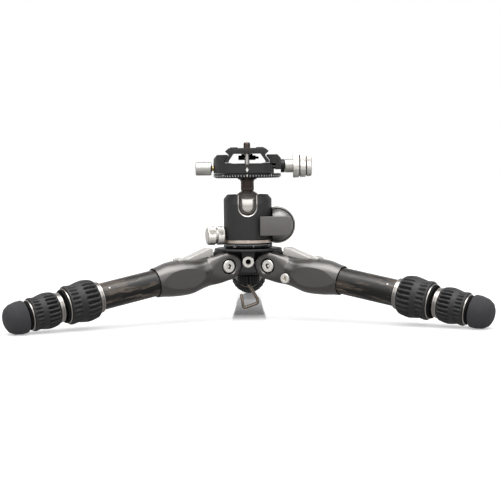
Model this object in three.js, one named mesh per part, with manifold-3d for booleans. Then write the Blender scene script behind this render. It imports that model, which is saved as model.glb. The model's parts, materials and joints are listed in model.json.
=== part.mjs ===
// Low-angle tripod with a ball head and a panning quick-release clamp.
// Millimetres, +Z up. The pan axis of the head is the axis of the hub; three legs stand around it.

import * as THREE from 'three';
import { mergeVertices } from 'three/addons/utils/BufferGeometryUtils.js';
import Module from 'manifold-3d';

const wasm = await Module();
wasm.setup();

// ---------------------------------------------------------------- driving dimensions

const GAP = 0.3;
const LEG_SIDES = 16;
const HEAD_SIDES = 24;
const BALL_SIDES = 20;

const LEG = {
  names: ['front_left', 'front_right', 'rear'],
  azimuths: [210, 330, 90],
  slope: 9.95,
  pivotRadius: 26,
  tubeRadius: 11.2,
  middleRadius: 9.6,
  lowerRadius: 8.2,
  wall: 1.2,
  castingEnd: 65.9,
  boreStart: 46,
  upperLock: [117.3, 151],
  lowerLock: [152.3, 182.3],
  footStart: 183.2,
  footRadius: 13.4,
  footWidest: 188.8,
};
const CASTING = { halfWidth: 12.8, bossRadius: 12.2, slotHalf: 6.4, web: 10.8 };
const SCREW = { bore: 3.8, shank: 3.5, head: 5.5, recess: 6.7, recessDepth: 2.6, hex: 4 };
const TAB_POCKET = { from: 8.2, to: 44.2, floor: 10.6 };
const LEG_PORT = { along: 18.5, up: -7, radius: 4, hole: 2.2 };
const HUB = {
  pivot: 42.35, top: 56.8, discThickness: 1.8, discRadius: 29.5, coreRadius: 13.2, bottom: 33.4, tongueHalf: 6,
};
const ACCESSORY_PORT = { height: 45.8, radius: 4.1, hole: 2.8 };
const HEAD = { radius: 21, bottom: 64.5, top: 103.6, topRadius: 17.8, bore: 15.2 };
const BALL = { radius: 14.6, height: 92.9 };
const PAN_KNOB = { azimuth: 194, height: 68.1 };
const NOTCH = { halfWidth: 7.6, height: 93 };
const LOCK = { x: 25.5, z: 76.6, radius: 15.9 };
const CLAMP = {
  radius: 29.3, discBottom: 117.9, bottom: 121.9, floor: 127.6, lip: 129.6, stepLip: 131, jawTop: 138,
  knobHeight: 128, panKnobHeight: 126.2,
};
const JAW_OUTLINE = [
  [19.9, 130.4], [19.9, 133.4], [17, 136.9], [17.4, CLAMP.jawTop], [26.1, CLAMP.jawTop], [29.3, 134.7],
];
const PLATE = { halfWidth: 19, halfLength: 25, bottom: 131.3, deckBottom: 139, deckTop: 143.6 };

const DEG = Math.PI / 180;

// ---------------------------------------------------------------- finishes

function finish(color, roughness, metalness) {
  return new THREE.MeshStandardMaterial({ color, roughness, metalness });
}

const FINISH = {
  casting: finish(0x5a5654, 0.45, 0.6),
  body: finish(0x3b3c3d, 0.45, 0.6),
  black: finish(0x1b1b1c, 0.5, 0.4),
  silver: finish(0xc8c8c6, 0.3, 0.9),
  bronze: finish(0xa3968a, 0.35, 0.9),
  carbon: finish(0x2a2726, 0.25, 0.1),
  rubber: finish(0x202121, 0.85, 0),
  foot: finish(0x38383a, 0.9, 0),
  steel: finish(0xb5b5b3, 0.25, 1),
  ball: finish(0x8c8580, 0.12, 1),
  brass: finish(0xb09a5a, 0.4, 0.9),
};

// ---------------------------------------------------------------- solids

// Joins shared corners, drops slivers and turns the faces outward.
function closed(geometry) {
  geometry.deleteAttribute('normal');
  geometry.deleteAttribute('uv');
  const merged = mergeVertices(geometry, 1e-4);
  const p = merged.attributes.position;
  const index = merged.index.array;
  const corner = [new THREE.Vector3(), new THREE.Vector3(), new THREE.Vector3()];
  const kept = [];
  let volume = 0;
  for (let i = 0; i < index.length; i += 3) {
    const [a, b, c] = [index[i], index[i + 1], index[i + 2]];
    if (a === b || b === c || c === a) continue;
    kept.push(a, b, c);
    [a, b, c].forEach((v, k) => corner[k].fromBufferAttribute(p, v));
    volume += corner[0].dot(corner[1].cross(corner[2]));
  }
  if (volume < 0) kept.reverse();
  merged.setIndex(kept);
  return merged;
}

function solid(geometry) {
  const g = closed(geometry);
  const mesh = new wasm.Mesh({
    numProp: 3,
    vertProperties: new Float32Array(g.attributes.position.array),
    triVerts: new Uint32Array(g.index.array),
  });
  return new wasm.Manifold(mesh);
}

function geometryOf(body) {
  const mesh = body.getMesh();
  const geometry = new THREE.BufferGeometry();
  geometry.setAttribute('position', new THREE.BufferAttribute(new Float32Array(mesh.vertProperties), 3));
  geometry.setIndex(new THREE.BufferAttribute(new Uint32Array(mesh.triVerts), 1));
  return geometry;
}

function joined(...bodies) {
  return bodies.reduce((a, b) => a.add(b));
}

function cutBy(body, ...tools) {
  return tools.reduce((a, b) => a.subtract(b), body);
}

// A turned shape: the profile is a list of [place along the axis, radius].
function turned(profile, axis = 'z', sides = HEAD_SIDES, at = [0, 0, 0]) {
  const points = profile.map(([along, radius]) => new THREE.Vector2(radius, along));
  const ends = [profile[0][1], profile.at(-1)[1]];
  if (ends[0] > 0 || ends[1] > 0) points.push(points[0].clone());
  const g = new THREE.LatheGeometry(points, sides);
  if (axis === 'z') g.rotateX(90 * DEG);
  if (axis === 'x') g.rotateZ(-90 * DEG);
  return solid(g.translate(...at));
}

function rod(from, to, radius, axis = 'z', sides = HEAD_SIDES, at = [0, 0, 0]) {
  return turned([[from, 0], [from, radius], [to, radius], [to, 0]], axis, sides, at);
}

function pipe(from, to, outer, inner, axis = 'z', sides = HEAD_SIDES) {
  return turned([[from, inner], [from, outer], [to, outer], [to, inner]], axis, sides);
}

function box(x0, x1, y0, y1, z0, z1) {
  const g = new THREE.BoxGeometry(x1 - x0, y1 - y0, z1 - z0);
  return solid(g.translate((x0 + x1) / 2, (y0 + y1) / 2, (z0 + z1) / 2));
}

// Rings of corners, all with the same number of them, joined side by side and closed at both ends.
function lofted(rings) {
  const sides = rings[0].length;
  const last = (rings.length - 1) * sides;
  const index = [];
  for (let r = 0; r < last; r += sides) {
    for (let k = 0; k < sides; k += 1) {
      const a = r + k;
      const b = r + (k + 1) % sides;
      index.push(a, b, a + sides, b, b + sides, a + sides);
    }
  }
  for (let k = 1; k + 1 < sides; k += 1) index.push(0, k + 1, k, last, last + k, last + k + 1);
  const g = new THREE.BufferGeometry();
  g.setAttribute('position', new THREE.Float32BufferAttribute(rings.flat(2), 3));
  g.setIndex(index);
  return solid(g);
}

// An outline in X and Z, made solid from y0 to y1.
function slab(outline, y0, y1) {
  const shape = new THREE.Shape(outline.map(([x, z]) => new THREE.Vector2(x, z)));
  const g = new THREE.ExtrudeGeometry(shape, { depth: y1 - y0, bevelEnabled: false });
  return solid(g.rotateX(90 * DEG).translate(0, y1, 0));
}

function arc(cx, cy, radius, from, to, steps) {
  return Array.from({ length: steps + 1 }, (_, i) => {
    const a = (from + (to - from) * i / steps) * DEG;
    return [cx + radius * Math.cos(a), cy + radius * Math.sin(a)];
  });
}

function hexSocket(from, to, acrossFlats, axis, at) {
  return rod(from, to, acrossFlats / Math.sqrt(3), axis, 6, at);
}

function named(name, body, material) {
  const mesh = new THREE.Mesh(geometryOf(body), material);
  mesh.name = name;
  return mesh;
}

// ---------------------------------------------------------------- leg
// In a leg's own frame X runs along the tube from the pivot, Y along the pivot screw and Z up.

// The casting's round body, flattened at its sides: [place, centre height, radius].
const CASTING_SECTIONS = [
  [3, 0, 12.1], [10, -1, 12.6], [18, -1.1, 12.9], [24, -1.3, 13.7], [35, -1.5, 15.3],
  [43, -0.9, 15.5], [53, -0.2, 14.8], [61, 0, 13.2], [LEG.castingEnd, 0, 12.6],
];

function castingBody() {
  const sides = 20;
  const half = CASTING.halfWidth;
  return lofted(CASTING_SECTIONS.map(([x, centre, radius]) => Array.from({ length: sides }, (_, k) => {
    const a = 2 * Math.PI * k / sides;
    return [x, THREE.MathUtils.clamp(radius * Math.cos(a), -half, half), centre + radius * Math.sin(a)];
  })));
}

function casting(withPort) {
  const w = CASTING.halfWidth;
  const boss = rod(-w, w, CASTING.bossRadius, 'y', 24);
  const tools = [
    box(-20, CASTING.web, -CASTING.slotHalf, CASTING.slotHalf, -20, 20),
    rod(LEG.boreStart, LEG.castingEnd + 2, LEG.tubeRadius + GAP, 'x', LEG_SIDES),
    rod(-w - 1, w + 1, SCREW.bore, 'y', 12),
    rod(w - SCREW.recessDepth, w + 1, SCREW.recess, 'y', 16),
    rod(-w - 1, SCREW.recessDepth - w, SCREW.recess, 'y', 16),
    box(TAB_POCKET.from, TAB_POCKET.to, -CASTING.slotHalf, CASTING.slotHalf, TAB_POCKET.floor, 25),
  ];
  if (withPort) tools.push(rod(-20, -8, LEG_PORT.radius + GAP, 'y', 16, [LEG_PORT.along, 0, LEG_PORT.up]));
  return cutBy(joined(boss, castingBody()), ...tools);
}

function pivotScrew() {
  const w = CASTING.halfWidth;
  const { head, shank, hex } = SCREW;
  const half = [[w - 2.3, shank], [w - 2.3, head], [w - 0.8, head], [w - 0.3, head - 0.5], [w - 0.3, 0]];
  const mirrored = half.map(([along, radius]) => [-along, radius]).reverse();
  const screw = turned([...mirrored, ...half], 'y', 12);
  return cutBy(screw, hexSocket(-w - 1, -w + 2.2, hex, 'y'), hexSocket(w - 2.2, w + 1, hex, 'y'));
}

function angleTab() {
  return slab([
    [9.4, 11.6], [34.5, 11.4], [36, 12.8], [43.4, 13.2], [43.4, 14.8], [41.6, 15.7],
    [37.2, 15.3], [35.2, 13.9], [33, 14.5], [12, 18.4], [9.4, 17.8],
  ], -5.8, 5.8);
}

function lockSleeve([from, to], ringRadius, core, flange, bigBore, step, smallBore) {
  return turned([
    [from, bigBore], [from, ringRadius - 0.6], [from + 0.6, ringRadius], [from + 4, ringRadius],
    [from + 4, core], [to - 2.9, core], [to - 2.9, flange], [to - 1.8, flange], [to - 1.8, flange - 0.8],
    [to - 0.4, flange - 0.8], [to, flange - 1.2], [to, smallBore], [step, smallBore], [step, bigBore],
  ], 'x', LEG_SIDES);
}

function lockGrip([from, to], bore, radii) {
  const start = from + 4.3;
  const length = to - 3.2 - start;
  const along = [0, 0.09, 0.38, 0.56, 0.74, 0.93, 1];
  const outline = along.map((t, i) => [start + t * length, radii[i]]);
  return turned([[start, bore], ...outline, [start + length, bore]], 'x', LEG_SIDES);
}

function tube(from, to, radius) {
  return pipe(from, to, radius, radius - LEG.wall, 'x', LEG_SIDES);
}

function foot() {
  const start = LEG.footStart;
  const r = LEG.footRadius;
  const outer = turned([
    [start, 0], [start, 12.6], [start + 1.4, r], [LEG.footWidest, r], [194.5, 12.3],
    [198.4, 9.8], [200.4, 6.4], [201, 2.6], [201, 0],
  ], 'x', LEG_SIDES);
  return cutBy(outer, rod(start - 1, 192.4, LEG.lowerRadius + GAP, 'x', LEG_SIDES));
}

function leg(name, azimuth) {
  const { upperLock, lowerLock, tubeRadius, middleRadius, lowerRadius } = LEG;
  const hasPort = name === 'front_right';
  const parts = {
    casting: [casting(hasPort), FINISH.casting],
    pivot_screw: [pivotScrew(), FINISH.steel],
    angle_tab: [angleTab(), FINISH.silver],
    upper_tube: [tube(LEG.boreStart + GAP, 135.7, tubeRadius), FINISH.carbon],
    upper_lock_sleeve: [
      lockSleeve(upperLock, 13.2, 13.2, 14.6, tubeRadius + GAP, 136, middleRadius + GAP), FINISH.silver,
    ],
    upper_lock_grip: [
      lockGrip(upperLock, 13.5, [14.8, 16.3, 17.3, 16.6, 15.6, 16.2, 15.6]), FINISH.rubber,
    ],
    middle_tube: [tube(48, 166.8, middleRadius), FINISH.carbon],
    lower_lock_sleeve: [
      lockSleeve(lowerLock, 12.5, 11.5, 12.5, middleRadius + GAP, 167.1, lowerRadius + GAP), FINISH.silver,
    ],
    lower_lock_grip: [
      lockGrip(lowerLock, 11.8, [12.9, 14, 14.8, 14.2, 13.2, 13.8, 13.3]), FINISH.rubber,
    ],
    lower_tube: [tube(50, 192.1, lowerRadius), FINISH.carbon],
    foot: [foot(), FINISH.foot],
  };
  const group = new THREE.Group();
  for (const [part, [body, material]] of Object.entries(parts)) {
    group.add(named(`${name}_${part}`, body, material));
  }
  if (hasPort) {
    const insert = cutBy(rod(-12.9, -8.3, LEG_PORT.radius, 'y', 20), rod(-14, -9.3, LEG_PORT.hole, 'y', 12))
      .translate([LEG_PORT.along, 0, LEG_PORT.up]);
    group.add(named('leg_port_insert', insert, FINISH.steel));
  }
  group.rotation.y = LEG.slope * DEG;
  group.position.set(LEG.pivotRadius, 0, HUB.pivot);
  const turn = new THREE.Group();
  turn.rotation.z = azimuth * DEG;
  turn.add(group);
  return turn;
}

// ---------------------------------------------------------------- hub and hook

function hubSpider() {
  const discBottom = HUB.top - HUB.discThickness;
  const tongueRadius = 8.9;
  const core = turned([
    [HUB.bottom, 0], [HUB.bottom, 9.5], [HUB.bottom + 2.6, HUB.coreRadius],
    [discBottom + 0.5, HUB.coreRadius], [discBottom + 0.5, 0],
  ]);
  const disc = turned([
    [discBottom, 0], [discBottom, HUB.discRadius], [HUB.top - 0.5, HUB.discRadius],
    [HUB.top, HUB.discRadius - 0.5], [HUB.top, 0],
  ], 'z', 36);
  const bodies = [core, disc];
  const tongue = slab([
    [0, discBottom + 0.5], [0, HUB.pivot - tongueRadius],
    ...arc(LEG.pivotRadius, HUB.pivot, tongueRadius, -90, 60, 8), [LEG.pivotRadius + 5, discBottom + 0.5],
  ], -HUB.tongueHalf, HUB.tongueHalf);
  const bore = rod(-8, 8, SCREW.bore, 'y', 16, [LEG.pivotRadius, 0, HUB.pivot]);
  const columnShape = new THREE.Shape([
    [8, 4.6], [18, 5], [19.8, 6.1], [19.8, -6.1], [18, -5], [8, -4.6],
  ].map(([x, y]) => new THREE.Vector2(x, y)));
  const column = solid(new THREE.ExtrudeGeometry(columnShape, { depth: 18.6, bevelEnabled: false })
    .translate(0, 0, 36.6));
  LEG.azimuths.forEach((azimuth) => {
    bodies.push(cutBy(tongue, bore).rotate([0, 0, azimuth]));
    bodies.push(column.rotate([0, 0, azimuth + 60]));
  });
  return cutBy(
    joined(...bodies),
    rod(-21, -14.9, ACCESSORY_PORT.radius + GAP, 'y', 20, [0, 0, ACCESSORY_PORT.height]),
    rod(HUB.bottom - 1, 41.4, 5, 'z', 20),
  );
}

function accessoryPort() {
  const { height, radius, hole } = ACCESSORY_PORT;
  const insert = turned([
    [-20.4, 0], [-20.4, 4.9], [-20.1, 5.2], [-20.1, radius], [-15.2, radius], [-15.2, 0],
  ], 'y', 24);
  return cutBy(insert, rod(-22, -16.2, hole, 'y', 16)).translate([0, 0, height]);
}

function hookBase() {
  const base = turned([
    [25.2, 0], [25.2, 9.4], [25.8, 10], [32.4, 10], [33.1, 9.2], [33.1, 4.7], [41, 4.7], [41, 0],
  ], 'z', 20);
  return cutBy(base, rod(24, 30.6, 3.6, 'z', 16));
}

function hook() {
  const bends = [[0, 28.6], [-1, 25.6], [7, 13.2], [8.3, 8.2], [-4.6, 3.8], [-6.5, 15.4]];
  const corner = 1.9;
  const at = ([x, z]) => new THREE.Vector3(x, 0, z);
  const path = new THREE.CurvePath();
  let from = at(bends[0]);
  for (let i = 1; i < bends.length; i += 1) {
    const bend = at(bends[i]);
    const last = i === bends.length - 1;
    const before = last ? bend : bend.clone().add(from.clone().sub(bend).setLength(corner));
    path.add(new THREE.LineCurve3(from, before));
    if (!last) {
      const after = bend.clone().add(at(bends[i + 1]).sub(bend).setLength(corner));
      path.add(new THREE.QuadraticBezierCurve3(before, bend, after));
      from = after;
    }
  }
  const section = new THREE.Shape(arc(0, 0, 1.35, 0, 315, 7).map(([x, y]) => new THREE.Vector2(x, y)));
  const along = { steps: 30, extrudePath: path, bevelEnabled: false };
  const wire = solid(new THREE.ExtrudeGeometry(section, along));
  return joined(wire, rod(27.6, 30.2, 2.8, 'z', 16));
}

// ---------------------------------------------------------------- ball head

// The chamfer round the head's top is low at the two sides and tall at the front and back.
function headShell() {
  const { radius, bottom, top, topRadius } = HEAD;
  const sides = 32;
  const ring = (r, height) => Array.from({ length: sides }, (_, k) => {
    const a = 2 * Math.PI * k / sides;
    return [r * Math.cos(a), r * Math.sin(a), height(Math.abs(Math.sin(a)))];
  });
  return lofted([
    ring(radius, () => bottom),
    ring(radius, (facing) => top - 3.8 - 4.8 * facing ** 1.3),
    ring(topRadius, () => top),
  ]);
}

function headBody() {
  const { bottom, top, bore } = HEAD;
  const cavity = BALL.radius + GAP;
  const socket = turned([
    [bottom - 1, 0], [bottom - 1, bore], [BALL.height, bore],
    ...arc(BALL.height, 0, cavity, 86, 59, 5),
    [top - 1, 13.2], [top + 1, 15.2], [top + 1, 0],
  ], 'z', 32);
  const { halfWidth, height } = NOTCH;
  const notch = slab([
    [-halfWidth, top + 1], ...arc(0, height, halfWidth, 180, 360, 10), [halfWidth, top + 1],
  ], -24, -6);
  const knobBore = rod(12, 24, 2.8, 'x', 16, [0, 0, PAN_KNOB.height]).rotate([0, 0, PAN_KNOB.azimuth]);
  return cutBy(headShell(), socket, notch, knobBore);
}

function panKnob() {
  const knob = turned([
    [16.4, 0], [16.4, 2.5], [21.9, 2.5], [21.9, 7.4], [22.4, 8], [27.9, 8.1], [28.4, 6.9],
    [29.4, 6.9], [29.9, 8.1], [35.9, 8], [37.1, 6.8], [37.1, 0],
  ], 'x', 20, [0, 0, PAN_KNOB.height]);
  return knob.rotate([0, 0, PAN_KNOB.azimuth]);
}

function ballCup() {
  const seat = BALL.radius + GAP;
  const curve = arc(BALL.height, 0, seat, 180, 121, 6);
  return turned([...curve, [86, HEAD.bore - GAP], [68, HEAD.bore - GAP], [68, 0]], 'z', HEAD_SIDES);
}

function stem() {
  const foot = arc(BALL.height, 0, BALL.radius + GAP, 0, 22.5, 2);
  return turned([...foot, [110, 5.9], [115.4, 5.9], [116.4, 7.6], [117.6, 8.6], [117.6, 0]], 'z', 24);
}

function lockHousing() {
  const drum = turned([
    [9, 0], [9, 14.6], [7.6, LOCK.radius], [-3.4, LOCK.radius], [-4.2, 15.1], [-4.2, 14.5],
    [-7, 14], [-10.4, 12.3], [-13.2, 9], [-14.8, 5], [-15.2, 0],
  ], 'y', 28, [LOCK.x, 0, LOCK.z]);
  return cutBy(
    drum,
    rod(50, 110, HEAD.radius + 2 * GAP, 'z', 32),
    box(0, HEAD.radius + 2 * GAP, -30, -0.5, 50, 110),
    rod(-20, 6, 3.3, 'y', 16, [LOCK.x, 0, LOCK.z]),
  );
}

function lockLever() {
  const [left, right, half, round] = [-14.9, 11.9, 8.25, 3.4];
  const outline = [
    [left, -half], ...arc(right - round, round - half, round, -90, 0, 3),
    ...arc(right - round, half - round, round, 0, 90, 3), [left, half],
  ];
  const bar = slab(outline, -23.2, -19.6);
  return joined(bar, rod(-20, 5.7, 3, 'y', 16)).translate([LOCK.x, 0, LOCK.z]);
}

// ---------------------------------------------------------------- clamp and plate

function clampBody() {
  const { radius, bottom, floor, lip, stepLip, jawTop } = CLAMP;
  const barrel = turned([[bottom, 0], [bottom, radius], [lip, radius], [lip, 0]], 'z', 32);
  const fixedJaw = JAW_OUTLINE.slice(1).map(([x, z]) => [GAP - x, z]);
  const jaw = slab([[GAP - radius, lip - 1], [-19.6, lip - 1], ...fixedJaw], -24, 24)
    .intersect(rod(bottom, jawTop + 1, radius + 0.2, 'z', 32));
  const steps = box(-20, 19.6, -radius, radius, lip - 1, stepLip)
    .intersect(rod(bottom, jawTop, radius, 'z', 32));
  const scoop = [
    [-16.4, stepLip + 0.2], [-12.7, 130.4], [-6, 129.7], [0, 129.5],
    [6, 129.7], [12.7, 130.4], [16.4, stepLip + 0.2],
  ];
  return cutBy(
    joined(barrel, steps, jaw),
    box(23, 40, -40, 40, bottom - 1, jawTop + 1),
    slab(scoop, -40, 40),
    box(-17, 40, -20.3, 20.3, floor, stepLip + 1),
    box(-3, 3, -26, 26, floor, stepLip + 1),
    rod(-14, 30, 2.8, 'x', 16, [0, 0, CLAMP.knobHeight]),
    rod(-40, -23, 2.3, 'x', 16, [0, 0, CLAMP.panKnobHeight]),
  );
}

function clampJaw() {
  const outline = [[24.6, 125], [24.6, 130.4], ...JAW_OUTLINE, [29.3, 125]];
  const jaw = slab(outline, -20, 20).intersect(rod(100, 150, 31.4, 'z', 32));
  const boss = rod(29.2, 32.7, 5.8, 'x', 24, [0, 0, CLAMP.knobHeight]);
  return cutBy(joined(jaw, boss), rod(20, 40, 2.8, 'x', 16, [0, 0, CLAMP.knobHeight]));
}

// The knob and the screw that it turns are one turned piece.
function clampKnob() {
  return turned([
    [-12, 0], [-12, 2.5], [33, 2.5], [33, 5.9], [39.9, 5.9],
    [39.9, 10.1], [40.3, 10.4], [44.8, 10.2], [45.2, 9], [45.9, 9],
    [46.2, 9.95], [50.6, 9.8], [51, 8.6], [51.7, 8.6], [52, 9.4], [55.3, 9.1], [56.1, 8.4], [56.1, 0],
  ], 'x', 20, [0, 0, CLAMP.knobHeight]);
}

function clampPanKnob() {
  return turned([
    [-44.9, 0], [-44.9, 5.2], [-44.3, 5.85], [-31.7, 5.85], [-31.1, 5.3], [-31.1, 3.2],
    [-30.6, 2], [-24, 2], [-24, 0],
  ], 'x', 20, [0, 0, CLAMP.panKnobHeight]);
}

function cameraPlate() {
  const half = [
    [PLATE.halfWidth, PLATE.bottom], [PLATE.halfWidth, 133.1], [16, 136.5], [15.8, 138],
    [18.5, 140.5], [18.5, 141.1], [15.4, PLATE.deckTop],
  ];
  const mirrored = half.map(([x, z]) => [-x, z]).reverse();
  const arch = [
    [-16.2, PLATE.bottom], [-16.2, 132.8], [-11.9, PLATE.deckBottom],
    [11.9, PLATE.deckBottom], [16.2, 132.8], [16.2, PLATE.bottom],
  ];
  const long = PLATE.halfLength;
  return cutBy(slab([...half, ...mirrored, ...arch], -long, long), rod(130, 150, 3.5, 'z', 20));
}

function cameraScrew() {
  const screw = turned([
    [133.4, 0], [133.4, 7.2], [133.8, 7.6], [137.4, 7.6], [137.4, 5], [138.7, 5], [138.7, 3.1],
    [148.2, 3.1], [148.7, 2.6], [148.7, 0],
  ], 'z', 24);
  return cutBy(screw, box(-9, 9, -0.9, 0.9, 131, 134.6));
}

function foldRing() {
  const outer = arc(0, 0, 10.2, -100, 100, 14);
  const inner = arc(0, 0, 8.2, 100, -100, 14);
  const shape = new THREE.Shape([...outer, ...inner].map(([x, y]) => new THREE.Vector2(x, y)));
  return solid(new THREE.ExtrudeGeometry(shape, { depth: 2, bevelEnabled: false }).translate(0, 0, 134.4));
}

// ---------------------------------------------------------------- assembly

const model = new THREE.Group();
LEG.names.forEach((name, i) => model.add(leg(name, LEG.azimuths[i])));

const head = {
  hub_spider: [hubSpider(), FINISH.body],
  accessory_port: [accessoryPort(), FINISH.steel],
  hook_base: [hookBase(), FINISH.black],
  hook: [hook(), FINISH.bronze],
  degree_ring: [pipe(57.1, 61.1, 21.3, 8, 'z', 32), FINISH.black],
  pan_stud: [
    turned([[57.1, 0], [57.1, 7.6], [64.9, 7.6], [64.9, 12], [67, 12], [67, 0]], 'z', 20), FINISH.steel,
  ],
  index_ring: [pipe(61.4, 64.2, HEAD.radius, 8, 'z', 32), FINISH.bronze],
  head_body: [headBody(), FINISH.body],
  pan_knob: [panKnob(), FINISH.silver],
  ball_cup: [ballCup(), FINISH.brass],
  ball: [solid(new THREE.SphereGeometry(BALL.radius, BALL_SIDES, 12).rotateX(90 * DEG)
    .translate(0, 0, BALL.height)), FINISH.ball],
  stem: [stem(), FINISH.body],
  lock_housing: [lockHousing(), FINISH.silver],
  lock_lever: [lockLever(), FINISH.casting],
  clamp_disc: [
    turned([
      [CLAMP.discBottom, 0], [CLAMP.discBottom, 27.6], [119, CLAMP.radius], [121.2, CLAMP.radius],
      [121.6, 28.8], [121.6, 0],
    ], 'z', 32), FINISH.black,
  ],
  clamp_body: [clampBody(), FINISH.body],
  clamp_jaw: [clampJaw(), FINISH.body],
  clamp_knob: [clampKnob(), FINISH.silver],
  clamp_pan_knob: [clampPanKnob(), FINISH.silver],
  camera_plate: [cameraPlate(), FINISH.body],
  plate_pad_left: [box(-14.4, -8, -20, 20, 143.9, 144.3), FINISH.rubber],
  plate_pad_right: [box(8, 14.4, -20, 20, 143.9, 144.3), FINISH.rubber],
  stop_pin_front: [rod(128.6, 138.7, 2.1, 'z', 16, [0, -16, 0]), FINISH.steel],
  stop_pin_rear: [rod(128.6, 138.7, 2.1, 'z', 16, [0, 16, 0]), FINISH.steel],
  camera_screw: [cameraScrew(), FINISH.steel],
  fold_ring: [foldRing(), FINISH.black],
};
for (const [name, [body, material]] of Object.entries(head)) {
  model.add(named(name, body, material));
}

// The frame's origin is on the floor under the middle of the whole footprint.
const bounds = new THREE.Box3().setFromObject(model, true);
model.position.x = -(bounds.min.x + bounds.max.x) / 2;
model.position.y = -(bounds.min.y + bounds.max.y) / 2;
model.position.z = -bounds.min.z;

export default model;
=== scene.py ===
"""Low-angle carbon tripod with a ball head and a panning quick-release clamp.

An add-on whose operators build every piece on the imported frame, and the stage round them.
"""

import json
import math

import bmesh
import bpy
from bpy.props import FloatProperty, FloatVectorProperty, IntProperty, PointerProperty
from mathutils import Matrix, Vector


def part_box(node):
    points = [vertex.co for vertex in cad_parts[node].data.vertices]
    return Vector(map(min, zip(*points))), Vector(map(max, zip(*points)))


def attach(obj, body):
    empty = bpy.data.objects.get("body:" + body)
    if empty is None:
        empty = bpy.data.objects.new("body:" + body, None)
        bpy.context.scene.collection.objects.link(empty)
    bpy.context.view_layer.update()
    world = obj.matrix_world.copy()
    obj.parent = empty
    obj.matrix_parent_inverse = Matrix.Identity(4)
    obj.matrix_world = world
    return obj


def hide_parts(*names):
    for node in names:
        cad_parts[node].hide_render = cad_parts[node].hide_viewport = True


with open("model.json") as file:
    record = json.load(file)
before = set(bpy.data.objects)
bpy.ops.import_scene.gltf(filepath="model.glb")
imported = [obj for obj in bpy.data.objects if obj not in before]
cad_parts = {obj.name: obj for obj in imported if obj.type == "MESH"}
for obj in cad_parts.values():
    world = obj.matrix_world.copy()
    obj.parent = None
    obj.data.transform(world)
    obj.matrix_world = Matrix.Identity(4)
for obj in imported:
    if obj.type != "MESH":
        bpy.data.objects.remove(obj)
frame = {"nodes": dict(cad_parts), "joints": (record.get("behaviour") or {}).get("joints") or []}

bl_info = {
    "name": "Low-angle tripod",
    "version": (1, 0, 0),
    "blender": (4, 5, 0),
    "location": "View3D > Sidebar > Tripod",
    "description": "Builds a low-angle tripod with a ball head, piece by piece",
    "category": "Add Mesh",
}

MM = 0.001
LEGS = ("front_left", "front_right", "rear")
JOINTS = {joint["name"]: joint for joint in frame["joints"]}
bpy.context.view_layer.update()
SMOOTH_UNDER = math.radians(32)
HALF_TURN = Matrix.Rotation(math.pi, 4, "Z")


def linear(code):
    """A written colour such as "5a5654" as linear red, green and blue."""
    parts = [int(code[i:i + 2], 16) / 255 for i in (0, 2, 4)]
    return tuple(c / 12.92 if c < 0.04045 else ((c + 0.055) / 1.055) ** 2.4 for c in parts)


def shade(code, name, description):
    """A colour property."""
    return FloatVectorProperty(name=name, description=description, default=linear(code),
                               subtype="COLOR", size=3, min=0, max=1)


def length(default, name, description):
    """A length property, in metres."""
    return FloatProperty(name=name, description=description, default=default * MM,
                         unit="LENGTH", precision=5, min=0)


def count(default, name, description):
    """A property that counts repeats."""
    return IntProperty(name=name, description=description, default=default, min=1, max=400)


class TripodLegs(bpy.types.PropertyGroup):
    """Sizes of the legs."""

    flutes: count(24, "Grip flutes", "Grooves round each twist lock")
    flute_depth: length(2.1, "Flute depth", "Depth of the deep grooves of a twist lock")
    short_flute_depth: length(1.35, "Short flute depth",
                              "Depth of the grooves near the outer end of a twist lock")
    facet_lean: FloatProperty(name="Facet lean",
                              description="Inward lean of the flat on each side of the casting",
                              default=math.radians(0.8), subtype="ANGLE")


class TripodHead(bpy.types.PropertyGroup):
    """Sizes of the ball head and its knobs."""

    scale_marks: count(120, "Base marks", "Marks round the panning base")
    knurls: count(56, "Knurls", "Ridges round each knurled knob")
    knurl_depth: length(0.28, "Knurl depth", "Depth of the grooves between the ridges")
    rim: length(0.78, "Notch rim", "Width of the bright rim round the ball's notch")


class TripodClamp(bpy.types.PropertyGroup):
    """Sizes of the clamp and its camera plate."""

    scale_marks: count(72, "Clamp marks", "Marks round the clamp's panning disc")
    mark_width: length(0.42, "Mark width", "Width of a painted mark")
    plate_edge: length(0.4, "Plate edge", "Rounding of the camera plate's edges")


class TripodFinishes(bpy.types.PropertyGroup):
    """Colours of the finishes."""

    casting: shade("514e4c", "Casting", "Satin paint of the leg castings")
    body: shade("383838", "Body", "Anodised hub, head and clamp")
    black: shade("17171a", "Black", "Scales and hook base")
    carbon_dark: shade("151312", "Carbon", "Dark parts of the marbled carbon")
    carbon_light: shade("62574e", "Carbon streaks", "Light streaks of the marbled carbon")
    rubber: shade("1d1d1d", "Grip rubber", "Rubber sleeves of the twist locks")
    foot: shade("323234", "Foot rubber", "Rubber feet")
    silver: shade("d0cdc8", "Silver", "Knobs and tabs")
    ring: shade("a8a39f", "Machined rings", "Bare rims of the twist locks")
    steel: shade("f2eee8", "Steel", "Screws and threaded inserts")
    ball: shade("dcd6d0", "Ball", "Polished ball")
    stem: shade("4b423d", "Stem", "Stem between ball and clamp")
    bronze: shade("ddcfc2", "Index ring", "Ring that carries the pan index")
    # Painted shade: the recess colour is a black put inside recesses, gaps and grooves, where shade falls.
    recess: shade("0c0c0c", "Recess", "Matt black inside recesses and gaps")
    hook: shade("9a8e82", "Hook", "Plated hook wire")
    lock: shade("918f8f", "Lock housing", "Domed housing of the main lock")
    lever: shade("6d6a69", "Lock lever", "Bar that turns the main lock")
    brass: shade("a8915e", "Brass", "Neck of the clamp's panning knob")
    # Painted shade: the cup colour is the brass darkened, for the cup that lies deep in the head's shade.
    cup: shade("3a3226", "Ball cup", "Brass cup deep in the head")
    pad: shade("1e1f1f", "Pads", "Rubber strips of the camera plate")
    paint: shade("ecebe8", "Paint", "Marks and dots")
    floor: shade("f4f4f4", "Floor", "Floor and backdrop")


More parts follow.
